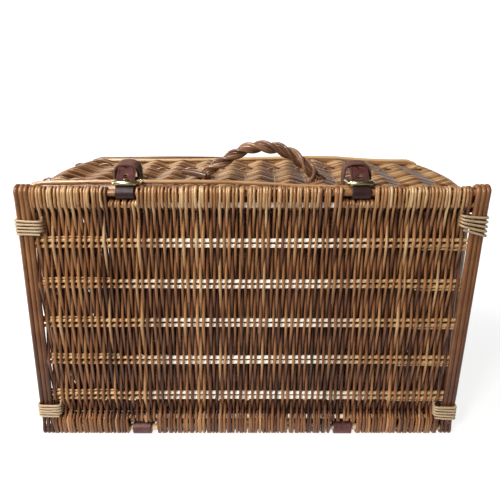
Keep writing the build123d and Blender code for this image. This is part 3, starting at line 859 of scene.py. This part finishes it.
for name, stick, radius, finish in (
    ("lid_handle_edge_stick", top_stick, edge_r, willow_across),
    ("lid_hinge_edge_stick", bottom_stick, edge_r, peeled_inside),
    ("lid_handle_inner_stick", upper_inner, inner_r, peeled),
    ("lid_hinge_inner_stick", lower_inner, inner_r, peeled),
):
    path = lengthwise(stick_reach(stick.z), stick.y, stick.z, 0.08)
    finish_rod(
        f"peeled_{name}", path, radius - STICK_EASE, 0.6, 10, finish, "lid", "peeled_stick", [name]
    )

# Thin sticks, in the darkest tone as painted shade of the band where the rods go behind them
bundle = new_bundle()
for z in thin_stick_heights:
    path = lengthwise(stick_reach(z), lid_y, z, 0.3)
    add_rod(bundle, path, tapered(THIN_STICK_R, path, 0.75), 0.0)
finish_piece("thin_lid_sticks", bundle, willow_across, "lid", "peeled_stick")


def winding(name):
    """Path of a cane that is wound round the last rods of the lid, climbing behind them."""
    low, high = millimetres(f"lid_binding_{name}")
    lift, fan, tilt = CANE_SET[name]
    place = (low + high) / 2 + Vector((0, 0, lift))
    end = 1 if place.x > 0 else -1
    inner = min(abs(low.x), abs(high.x)) + CANE_R
    outer = max(abs(low.x), abs(high.x)) - CANE_R
    reach = (high.y - low.y) / 2 - CANE_R
    points = []
    for turn in range(CANE_TURNS):
        # One turn: the place across, the depth, and the part of the pitch climbed so far
        for x, y, climb in (
            (inner + 2.0, -reach, 0.0),
            ((inner + outer) / 2, -reach - 0.4, 0.0),
            (outer - 2.5, -reach + 0.3, 0.05),
            (outer - 1.2, -reach * 0.45, 0.1),
            (outer - 1.2, reach * 0.45, 0.2),
            (outer - 2.5, reach - 0.3, 0.3),
            (inner + 2.0, reach, 0.9),
            (inner + 0.3, reach * 0.5, 0.95),
            (inner + 0.3, -reach * 0.5, 1.0),
        ):
            along = x - inner
            climbed = (turn + climb - (CANE_TURNS - 1) / 2) * CANE_PITCH
            z = place.z + climbed * (1 + (fan - 1) * along / (outer - inner)) + tilt * along
            across = leaning(end * x, place.z)
            points.append(Vector((across, lid_y + y, z + dice.uniform(-CANE_STRAY, CANE_STRAY))))
    return flow(points, 3)


for name in CANE_SET:
    path = winding(name)
    finish_rod(f"cane_{name}", path, CANE_R, 0.6, 7, cane, "lid", "cane", [f"lid_binding_{name}"])

# Case
rim_low, rim_high = millimetres("mouth_rim_handle_side")
foot_low, foot_high = millimetres("foot_border_handle_side")
hinge_wall_z = middle("hinge_wall_stakes").z
handle_wall_z = middle("handle_wall_stakes").z
end_wall_x = middle("right_end_stakes").x
rim_y, foot_y = (rim_low.y + rim_high.y) / 2, (foot_low.y + foot_high.y) / 2
rim_back, foot_front = rim_high.y, foot_low.y
case_mid_z = (hinge_wall_z + handle_wall_z) / 2
half_z = (handle_wall_z - hinge_wall_z) / 2
# Each wall: the way along it, the way out, its half length, its distance from the middle,
# its bays, and the side on which its wide bands pass the post it starts at
WALLS = {
    "handle": ((1, 0), (0, 1), end_wall_x, half_z, LONG_BAYS, -1),
    "right": ((0, -1), (1, 0), half_z, end_wall_x, END_BAYS, 1),
    "hinge": ((-1, 0), (0, -1), end_wall_x, half_z, LONG_BAYS, -1),
    "left": ((0, 1), (-1, 0), half_z, end_wall_x, END_BAYS, 1),
}
# The start of its nodes' names, the end of its borders' names, and the finish of its rods
NAMES_OF_WALL = {
    "handle": ("handle_wall", "handle_side", willow_across),
    "right": ("right_end", "right", willow_up),
    "hinge": ("hinge_wall", "hinge_side", willow_across),
    "left": ("left_end", "left", willow_up),
}


def wall_point(wall, u, out, y):
    """A point of a wall, u along it from its middle and out from its mid-plane, with
    the walls rounding into each other at the corners."""
    along, outward, half, distance = WALLS[wall][:4]
    straight = half - CORNER_R
    turn = max(0.0, abs(u) - straight) / CORNER_R
    run = min(abs(u), straight) + (CORNER_R + out) * sin(turn)
    away = distance - CORNER_R + (CORNER_R + out) * cos(turn)
    run = copysign(run, u)
    x = along[0] * run + outward[0] * away
    z = case_mid_z + along[1] * run + outward[1] * away
    lift = RIM_LIFT * rise(x, *RIM_LIFT_X) * rise(y, *RIM_LIFT_Y)
    hump = FOOT_HUMP * exp(-(((x - FOOT_HUMP_X) / FOOT_HUMP_RUN) ** 2))
    lift += (FOOT_LIFT + hump) * rise(x, *FOOT_LIFT_X) * rise(y, *FOOT_LIFT_Y)
    depth = sin(pi * min(1.0, max(0.0, (y - rim_y) / (foot_y - rim_y))))
    lift += LEFT_HUMP * rise(x, *LEFT_HUMP_X) * depth
    swell = END_SWELL * rise(abs(x), *END_SWELL_X) * depth * rise(z, *END_SWELL_Z)
    return Vector((x + copysign(swell, x), y, z + lift * rise(z, *LIFT_Z)))


def wall_reach(wall):
    """Half the length of a wall's mid-plane, to the middle of its corners."""
    return WALLS[wall][2] - CORNER_R + CORNER_R * pi / 4


def stake_places(wall):
    """Places of the stakes along a wall, with its corner posts at either end."""
    half, bays, reach = WALLS[wall][2], WALLS[wall][4], wall_reach(wall)
    between = [-half + 2 * half * i / bays for i in range(1, bays)]
    return [-reach, *between, reach]


ROW_DRIFT = 0.35
ROW_JOG = 0.3


def wall_rod(wall, y, r, side, phase):
    """Path of a weaver along one wall, in turn outside and inside its stakes, and its
    painted light and shade at each point: paler where it comes out, darker where it goes in."""
    stations = stake_places(wall)
    last = len(stations) - 1
    points, painted_light = [], []
    for i, (start, finish) in enumerate(zip(stations, stations[1:])):
        for step in range(BAY_STEPS + (i == last - 1)):
            part = step / BAY_STEPS
            at_post = max(0.0, 1 - i - part, i + part - last + 1)
            swing = STAKE_R + r + (POST_R - STAKE_R) * at_post
            wave = (0.5 * cos(pi * part) + 0.5 - part) * (-1) ** i
            drift = ROW_DRIFT * sin(phase + 0.9 * (i + part))
            drift += ROW_JOG * sin(2.3 * y + 2.1 * i)
            u = start + (finish - start) * part
            points.append(wall_point(wall, u, side * swing * wave, y + drift))
            painted_light.append(-side * (-1) ** i * PAINTED_LIGHT * sin(pi * part) ** 0.5)
    return points, painted_light


def wall_rows():
    """Places across the walls of all their rods, and whether each binds the others."""
    stops = [rim_back]
    for place in BINDER_PLACES:
        stops += [rim_back + place, rim_back + place + BINDER_W]
    stops += [foot_front]
    rows = []
    for i, (near, far) in enumerate(zip(stops, stops[1:])):
        binds = i % 2 == 1
        count = 1 if binds else round((far - near) / WALL_ROD_PITCH)
        rows += [(near + (k + 0.5) * (far - near) / count, binds) for k in range(count)]
    return rows


PALE_ROWS, PALE_ROW_TONE, BROWN_ROW_TONE = 0.34, (0.8, 1.0), (0.22, 0.6)


def shade_of_row():
    """Tone of one row of a wall: brown, or pale for one row in three."""
    return dice.uniform(*(PALE_ROW_TONE if dice.random() < PALE_ROWS else BROWN_ROW_TONE))


rows = [
    (y, binds, dice.uniform(*WALL_ROD_R), shade_of_row(), dice.uniform(0, 6.3))
    for y, binds in wall_rows()
]
for wall, (node, _, grain) in NAMES_OF_WALL.items():
    bundle = new_bundle()
    for y, binds, r, shade, phase in rows:
        side = WALLS[wall][5]
        if binds:
            side, r, shade = -side, BINDER_R, BINDER_TONE
        path, painted_light = wall_rod(wall, y, r, side, phase)
        shade += dice.uniform(-ROW_TONE_STRAY, ROW_TONE_STRAY)
        add_rod(bundle, path, r, [shade + change for change in painted_light], 5)
    finish_piece(f"{node}_rods", bundle, grain, "root", "willow", [f"{node}_weave"])

    bundle = new_bundle()
    for u in stake_places(wall)[1:-1]:
        depths = graded((rim_y, foot_y), STAKE_STEPS + 1)
        path = [wall_point(wall, u, -STAKE_SUNK, y) for y in depths]
        add_rod(bundle, path, STAKE_R, dice.uniform(*STAKE_TONE))
    finish_piece(
        f"{node}_upright_stakes", bundle, willow_deep, "root", "peeled_stick", [f"{node}_stakes"]
    )

for wall, end, post in (
    ("handle", -1, "upper_left"), ("handle", 1, "upper_right"),
    ("hinge", 1, "lower_left"), ("hinge", -1, "lower_right"),
):
    path = [wall_point(wall, end * wall_reach(wall), 0, y) for y in (rim_y, foot_y)]
    finish_rod(
        f"corner_stake_{post}", path, POST_R, 0.4, 10,
        willow_deep, "root", "willow", [f"corner_post_{post}"],
    )


def border_rod(wall, y, u_range, which, ring_r):
    """Path of one rod of a border, which goes slowly round the others."""
    reach = wall_reach(wall)
    turns = max(1, round(2 * reach / BORDER_TWIST * BORDER_RODS)) / BORDER_RODS
    start, finish = u_range
    steps = max(4, round((finish - start) / BORDER_STEP))
    points = []
    for u in graded(u_range, steps + 1):
        angle = 2 * pi * (turns * (u + reach) / (2 * reach) + which / BORDER_RODS)
        ease_in = rise(abs(u), reach, reach - BORDER_EASE)
        stray = BORDER_STRAY * ease_in * sin(u / 37 + 2.4 * which + y)
        out = (ring_r + stray) * cos(angle)
        back = (ring_r + stray) * sin(angle) + ease_in * sin(u / 53 + 1.7 * which)
        points.append(wall_point(wall, u, out, y + back))
    return points


loop_low, loop_high = millimetres("left_hinge_loop")
bare_half = (loop_high.x - loop_low.x) / 2 + RIM_ROD_ROOM
rim_rod_y = loop_high.y - (bottom_stick.y - loop_low.y)
for wall, (_, side, grain) in NAMES_OF_WALL.items():
    reach = wall_reach(wall)
    for border, y, ring_r in (("mouth_rim", rim_y, RIM_RING_R), ("foot_border", foot_y, FOOT_RING_R)):
        runs = [(-reach, reach)]
        if border == "mouth_rim" and wall == "hinge":
            places = sorted(-x for x in hinge_x.values())
            gaps = [stop for u in places for stop in (u - bare_half, u + bare_half)]
            stops = [-reach, *gaps, reach]
            runs = list(zip(stops[::2], stops[1::2]))
        bundle = new_bundle()
        for which in range(BORDER_RODS):
            shade = BORDER_TONES[which] + dice.uniform(-0.08, 0.05)
            for run in runs:
                path = border_rod(wall, y, run, which, ring_r)
                add_rod(bundle, path, BORDER_ROD_R, shade)
        if len(runs) > 1:
            bare = (-end_wall_x + RIM_ROD_SHORT, end_wall_x - RIM_ROD_SHORT)
            path = lengthwise(bare, rim_rod_y, bottom_stick.z, 0.1, 12)
            add_rod(bundle, path, edge_r - RIM_ROD_EASE, 0.7, 10)
        node = f"{border}_{side}"
        finish_piece(f"{border}_rods_{side}", bundle, grain, "root", "willow", [node])

path = flow([Vector((x, rim_y + back, z)) for x, back, z in LONG_ROD], 8)
radii = graded(LONG_ROD_R, len(path))
finish_rod("long_rim_rod", path, radii, 0.8, 8, willow_across, "root", "willow")

# Base, slewed like the walls
base_low, base_high = millimetres("base_weave")
base_y = (base_low.y + base_high.y) / 2
column_w = (base_high.x - base_low.x) / BASE_COLUMNS
base_pitch = (base_high.z - base_low.z) / BASE_PAIRS
base_heights = [base_low.z + (i + 0.5) * base_pitch for i in range(BASE_PAIRS)]
bundle = new_bundle()
for column in range(BASE_COLUMNS):
    for rod in range(BASE_COLUMN_RODS):
        place = (rod + 0.5) / BASE_COLUMN_RODS - 0.5
        x = base_low.x + (column + 0.5) * column_w + place * (column_w + BASE_LAP)
        r = dice.uniform(*BASE_ROD_R)
        side = (-1) ** column
        points = [Vector((x, base_y + side * (PAIR_R + r), base_low.z - BASE_LAP))]
        for k, z in enumerate(base_heights):
            y = base_y + side * (-1) ** k * (PAIR_R + r)
            stray = dice.uniform(-BASE_ROD_STRAY, BASE_ROD_STRAY)
            points += [Vector((x + stray, y, z + off)) for off in (-BASE_PASS, BASE_PASS)]
        points.append(Vector((x, points[-1].y, wall_point("handle", x, -BASE_TOP_IN, foot_y).z)))
        path = flow(points, 3)
        shade = shade_of_rod()
        # painted shade where a base rod passes inside, painted light where it passes outside
        tones = [shade + copysign(PAINTED_LIGHT, point.y - base_y) for point in path]
        add_rod(bundle, path, tapered(r, path, 0.94), tones)
finish_piece("base_rods", bundle, willow_up, "root", "willow", ["base_weave"])

bundle = new_bundle()
for z in base_heights:
    for offset in (-BASE_STICK_OFF, BASE_STICK_OFF):
        run = (base_low.x - BASE_LAP, base_high.x + BASE_LAP)
        path = lengthwise(run, base_y, z + offset, 0.25, 16)
        add_rod(bundle, path, tapered(PAIR_R, path, 0.9), 0.5, 8)
finish_piece("peeled_base_sticks", bundle, peeled_inside, "root", "peeled_stick", ["base_sticks"])

# Handle
handle_low, handle_high = millimetres("carry_handle")
handle_y = (handle_low.y + handle_high.y) / 2
left_leg, right_leg = handle_low.x + ROPE_R, handle_high.x - ROPE_R
crown_z = handle_high.z - ROPE_R
shoulder_z = handle_low.z + HANDLE_LEG
arch = rounded_path([Vector((x, handle_y, z)) for x, z in (
    (left_leg, handle_low.z), (left_leg, shoulder_z), (left_leg + HANDLE_LEFT_RUN, crown_z),
    (right_leg - HANDLE_RIGHT_RUN, crown_z), (right_leg, shoulder_z), (right_leg, handle_low.z),
)], [HANDLE_LOW_BEND, HANDLE_HIGH_BEND, HANDLE_HIGH_BEND, HANDLE_LOW_BEND], HANDLE_STEP)


def handle_rod(strand, rod):
    """Path of one rod of the handle, wound with the others of its strand round the arch."""
    points = []
    length = 0.0
    for i, point in enumerate(arch):
        length += (point - arch[i - 1]).length if i else 0.0
        outward = run_at(arch, i).cross(Y_AXIS)
        angle = 2 * pi * (length / STRAND_TWIST + strand / HANDLE_STRANDS)
        inside = angle + 2 * pi * rod / RODS_IN_STRAND
        full = 1.0 + HANDLE_FULLER * rise(point.x, left_leg, right_leg)
        out = STRAND_RING_R * cos(angle) + STRAND_ROD_RING * cos(inside)
        side = STRAND_RING_R * sin(angle) + STRAND_ROD_RING * sin(inside)
        points.append(point + (outward * out + Y_AXIS * side) * full)
    return points


bundle = new_bundle()
for strand in range(HANDLE_STRANDS):
    for rod in range(RODS_IN_STRAND):
        path = handle_rod(strand, rod)
        r = STRAND_ROD_R * dice.uniform(*HANDLE_ROD_SPREAD)
        add_rod(bundle, path, r, dice.uniform(*HANDLE_TONE), 7)
# The cut ends of rods: the leg they start from, both ends measured from it, and the radius
wall_top = rim_high.z
for leg, start, finish, r in (
    (left_leg, (2, -6, 1.5), (-28, 8, 5.0), 3.9),
    (left_leg, (3, -3, 1.0), (-20, 14, 3.0), 3.0),
    (right_leg, (-16, -5, 16), (14, -3, -2), 1.3),
    (right_leg, (-20, -5, 20), (7, -6, -2), 1.2),
):
    foot = Vector((leg, handle_y, wall_top))
    start, finish = foot + Vector(start), foot + Vector(finish)
    halfway = (start + finish) / 2 + Vector((0, 0, CUT_END_RISE))
    path = flow([start, halfway, finish], 5)
    add_rod(bundle, path, r, dice.uniform(*CUT_END_TONE), 8)
finish_piece("twisted_handle", bundle, handle_willow, "root", "willow", ["carry_handle"])

# Leather
slope = radians(STRAP_SLOPE)
along_slope = Vector((0, cos(slope), sin(slope)))
off_slope = Vector((0, -sin(slope), cos(slope)))


def around(centre, radius, start, finish, count):
    """Points on a circle about an X line, from one angle to another; 0 is the back."""
    turns = [radians(turn) for turn in graded((start, finish), count)]
    return [centre + Vector((0, radius * cos(a), radius * sin(a))) for a in turns]


def strap_line(x, lean):
    """Centre line of a strap from the end of its loop round the stick to its tip."""
    centre = Vector((x, top_stick.y, top_stick.z))
    top = 90 + STRAP_SLOPE
    line = around(centre, STRAP_LOOP_R, STRAP_LOOP_END, top, STRAP_LOOP_POINTS)
    straight = [line[-1] + along_slope * STRAP_STRAIGHT * i / 12 for i in range(1, 13)]
    bend_centre = straight[-1] - off_slope * STRAP_BEND
    bend = around(bend_centre, STRAP_BEND, top, top - STRAP_BEND_TURN, 9)[1:]
    leaving = (bend[-1] - bend[-2]).normalized()
    tip = [bend[-1] + leaving * STRAP_TIP * i / 3 for i in range(1, 4)]
    start = line[-1].y
    line += straight + bend + tip
    return [point + X_AXIS * lean * max(0.0, point.y - start) for point in line]


def leather_piece(side, name, bm, thickness, leather, node, body="root"):
    """Makes a piece of leather with thickness and soft edges."""
    finish, slot = leather
    piece = finish_piece(f"{side}_{name}", bm, finish, body, slot, [f"{side}_{node}"])
    wall = piece.modifiers.new("thickness", "SOLIDIFY")
    wall.thickness = thickness * MM
    wall.offset = 0.0
    soft = piece.modifiers.new("soft_edges", "SUBSURF")
    soft.levels = soft.render_levels = 2


def brass_rod(side, name, path, radii, sides, body, node):
    """Makes a brass piece of one buckle."""
    riding = (brass, f"{side}_{body}", "brass", [f"{side}_{node}"])
    finish_rod(f"{side}_{name}", path, radii, 0.5, sides, *riding)


def leather_strip(width, path, holes=(), across=X_AXIS, narrow=()):
    """A strip of leather along a path, with holes in its middle at the given steps."""
    edge = width / 2
    half = [HOLE_W / 2, edge - STRIP_BORDER, edge - STRIP_EDGE, edge]
    bm = bmesh.new()
    places = [-place for place in reversed(half)] + half
    add_strip(bm, places, strip_frames(path, across, narrow), holes)
    return bm


for side, x in strap_x.items():
    line = strap_line(x, STRAP_LEAN[side])
    narrow = dict(zip((len(line) - 2, len(line) - 1), STRAP_TIP_WIDTHS))
    bm = leather_strip(STRAP_W, line, STRAP_HOLES, narrow=narrow)
    body = f"{side}_strap_body"
    leather_piece(side, "strap_leather", bm, STRAP_T, smooth_side, "strap", body)

    stitches = new_bundle()
    for first, second in zip(line[16:-3], line[17:-3]):
        for edge in (-1, 1):
            lift = (second - first).normalized().cross(X_AXIS) * -(STRAP_T / 2)
            shift = X_AXIS * edge * (STRAP_W / 2 - STITCH_IN)
            path = [first.lerp(second, part) + shift + lift for part in STITCH_PARTS]
            add_rod(stitches, path, STITCH_R, 0.5, 4)
    finish_piece(f"{side}_strap_stitches", stitches, thread, body, "strap_leather")

    # Hinge loop round the rim's bare rod and the lid's edge stick
    loop_low, loop_high = millimetres(f"{side}_hinge_loop")
    fold_r = (loop_high.z - loop_low.z) / 2 - HINGE_T / 2
    lid_axis = Vector((hinge_x[side], bottom_stick.y, bottom_stick.z))
    rod_axis = Vector((hinge_x[side], rim_rod_y, bottom_stick.z))
    loop = around(lid_axis, fold_r, 270, 90, 9) + around(rod_axis, fold_r, 90, -90, 9)
    loop.append(loop[0])
    bm = leather_strip(loop_high.x - loop_low.x, loop)
    bmesh.ops.remove_doubles(bm, verts=bm.verts, dist=0.05)
    leather_piece(side, "hinge_leather", bm, HINGE_T, smooth_side, "hinge_loop")

    # Chape, folded round the heel bar of the buckle
    frame_low, frame_high = millimetres(f"{side}_buckle_frame")
    chape_low, chape_high = millimetres(f"{side}_buckle_chape")
    heel = Vector((x, frame_high.y - WIRE_R, chape_high.z - WIRE_R - HEEL_ROOM - CHAPE_T))
    tail_z = chape_low.z + CHAPE_T / 2
    chape = [Vector((x, chape_high.y - i * CHAPE_STEP, tail_z)) for i in range(6)]
    fold_r = WIRE_R + HEEL_ROOM + CHAPE_T / 2
    chape += [chape[-1].lerp(heel - Vector((0, 0, fold_r)), 0.5)]
    chape += around(heel, fold_r, 270, 0, 9)
    bm = leather_strip(CHAPE_W, chape, CHAPE_SLOT)
    leather_piece(side, "chape_leather", bm, CHAPE_T, flesh_side, "buckle_chape")

    # Keeper, an arch of leather that the strap goes through
    keeper_low, keeper_high = millimetres(f"{side}_strap_keeper")
    keeper_x = (keeper_low.x + keeper_high.x) / 2 + KEEPER_SHIFT[side]
    keeper_y = (keeper_low.y + keeper_high.y) / 2
    arch_r = ((keeper_high.x - keeper_low.x) / 2 - KEEPER_T / 2) * KEEPER_SPREAD[side]
    spring_z = keeper_high.z - KEEPER_T / 2 - arch_r
    leg_heights = (keeper_low.z + KEEPER_FOOT, spring_z - KEEPER_FOOT)
    keeper = [Vector((keeper_x - arch_r, keeper_y, z)) for z in leg_heights]
    for turn in graded((0, pi), KEEPER_POINTS):
        out = -arch_r * copysign(abs(cos(turn)) ** KEEPER_SQUARE, cos(turn))
        up = arch_r * sin(turn) ** KEEPER_SQUARE
        keeper.append(Vector((keeper_x + out, keeper_y, spring_z + up)))
    keeper += [Vector((keeper_x + arch_r, keeper_y, z)) for z in reversed(leg_heights)]
    bm = leather_strip(keeper_high.y - keeper_low.y, keeper, across=Y_AXIS)
    for vert in bm.verts:
        risen = max(0.0, vert.co.z - wall_top) / (keeper_high.z - wall_top)
        vert.co.z += (vert.co.y - keeper_y) * KEEPER_TILT[side] * risen
    leather_piece(side, "keeper_leather", bm, KEEPER_T, flesh_side, "strap_keeper")

    # Buckle: bent wire, roller and prong
    roller = middle(f"{side}_buckle_roller")
    half_w = (frame_high.x - frame_low.x) / 2 - WIRE_R
    corners = [
        heel, heel + X_AXIS * half_w, roller + X_AXIS * half_w,
        roller - X_AXIS * half_w, heel - X_AXIS * half_w, heel,
    ]
    path = rounded_path(corners, [WIRE_CORNER_R] * 4, 1.0)
    brass_rod(side, "buckle_wire", path, WIRE_R, 10, "buckle", "buckle_frame")
    roller_low, roller_high = millimetres(f"{side}_buckle_roller")
    near, far = roller_low.x, roller_high.x
    places = (near, near + ROLLER_BEVEL, far - ROLLER_BEVEL, far)
    path = [Vector((place, roller.y, roller.z)) for place in places]
    end_r = ROLLER_R - ROLLER_BEVEL
    radii = [end_r, ROLLER_R, ROLLER_R, end_r]
    brass_rod(side, "brass_roller", path, radii, 20, "roller", "buckle_roller")
    prong_low, prong_high = millimetres(f"{side}_buckle_prong")
    tip = Vector((x, prong_low.y + 0.4, prong_high.z - PRONG_R))
    eye = around(heel, WIRE_R + PRONG_R + 0.1, -150, 60, 9)
    path = flow(eye + [heel.lerp(tip, 0.3) + Vector((0, 0, 0.8)), heel.lerp(tip, 0.65), tip], 3)
    radii = [PRONG_R * (1 - PRONG_TAPER * part ** 2) for part in graded((0, 1), len(path))]
    brass_rod(side, "brass_prong", path, radii, 8, "prong", "buckle_prong")

# Floor, light and camera
FLOOR_FRONT, FLOOR_BACK, SWEEP_R, BACKDROP_TOP, STAGE_HALF = -3.0, 1.6, 0.8, 1.1, 4.0
SWEEP_STEPS = 8
STUDIO_FILL = 0.06
SOFTBOXES = (  # name, place, aim, size, power
    ("overhead_softbox", (-0.8, -0.45, 1.55), (0, 0, 0.2), 0.6, 19),
    ("raking_softbox", (-1.9, 0.1, 0.8), (0, 0, 0.3), 0.5, 14),
    ("front_softbox", (-0.8, -1.5, 1.2), (0, -0.1, 0.15), 0.4, 25),
)
CAMERA_PLACE = (18.07, -669.0, 413.8)
CAMERA_DOWN = 17.79
CAMERA_LENS = 38.15
CAMERA_SHIFT = -0.0332
VIEW_GAMMA = 0.9

bm = bmesh.new()
profile = [Vector((0, FLOOR_FRONT, 0)), Vector((0, FLOOR_BACK, 0))]
for turn in graded((0, pi / 2), SWEEP_STEPS + 1)[1:]:
    profile.append(Vector((0, FLOOR_BACK + SWEEP_R * sin(turn), SWEEP_R * (1 - cos(turn)))))
profile.append(Vector((0, FLOOR_BACK + SWEEP_R, BACKDROP_TOP)))
add_strip(bm, [-STAGE_HALF, STAGE_HALF], strip_frames(profile, X_AXIS))
floor = put_mesh("floor", bm, pale_floor)

world = bpy.data.worlds.new("studio")
scene.world = world
world.use_nodes = True
fill = world.node_tree.nodes["Background"]
fill.inputs["Color"].default_value = (1.0, 1.0, 1.0, 1.0)
fill.inputs["Strength"].default_value = STUDIO_FILL

for name, place, aim, size, power in SOFTBOXES:
    light = bpy.data.lights.new(name, "AREA")
    light.shape = "DISK"
    light.size = size
    light.energy = power
    lamp = put(name, light)
    lamp.location = place
    lamp.rotation_euler = (Vector(aim) - Vector(place)).to_track_quat("-Z", "Y").to_euler()

camera = bpy.data.cameras.new("camera")
camera.lens = CAMERA_LENS
camera.shift_x = CAMERA_SHIFT
camera.clip_start = 0.01
eye = put("camera", camera)
eye.location = Vector(CAMERA_PLACE) * MM
eye.rotation_euler = (radians(90 - CAMERA_DOWN), 0.0, 0.0)
scene.camera = eye
scene.view_settings.view_transform = "Standard"
scene.view_settings.gamma = VIEW_GAMMA
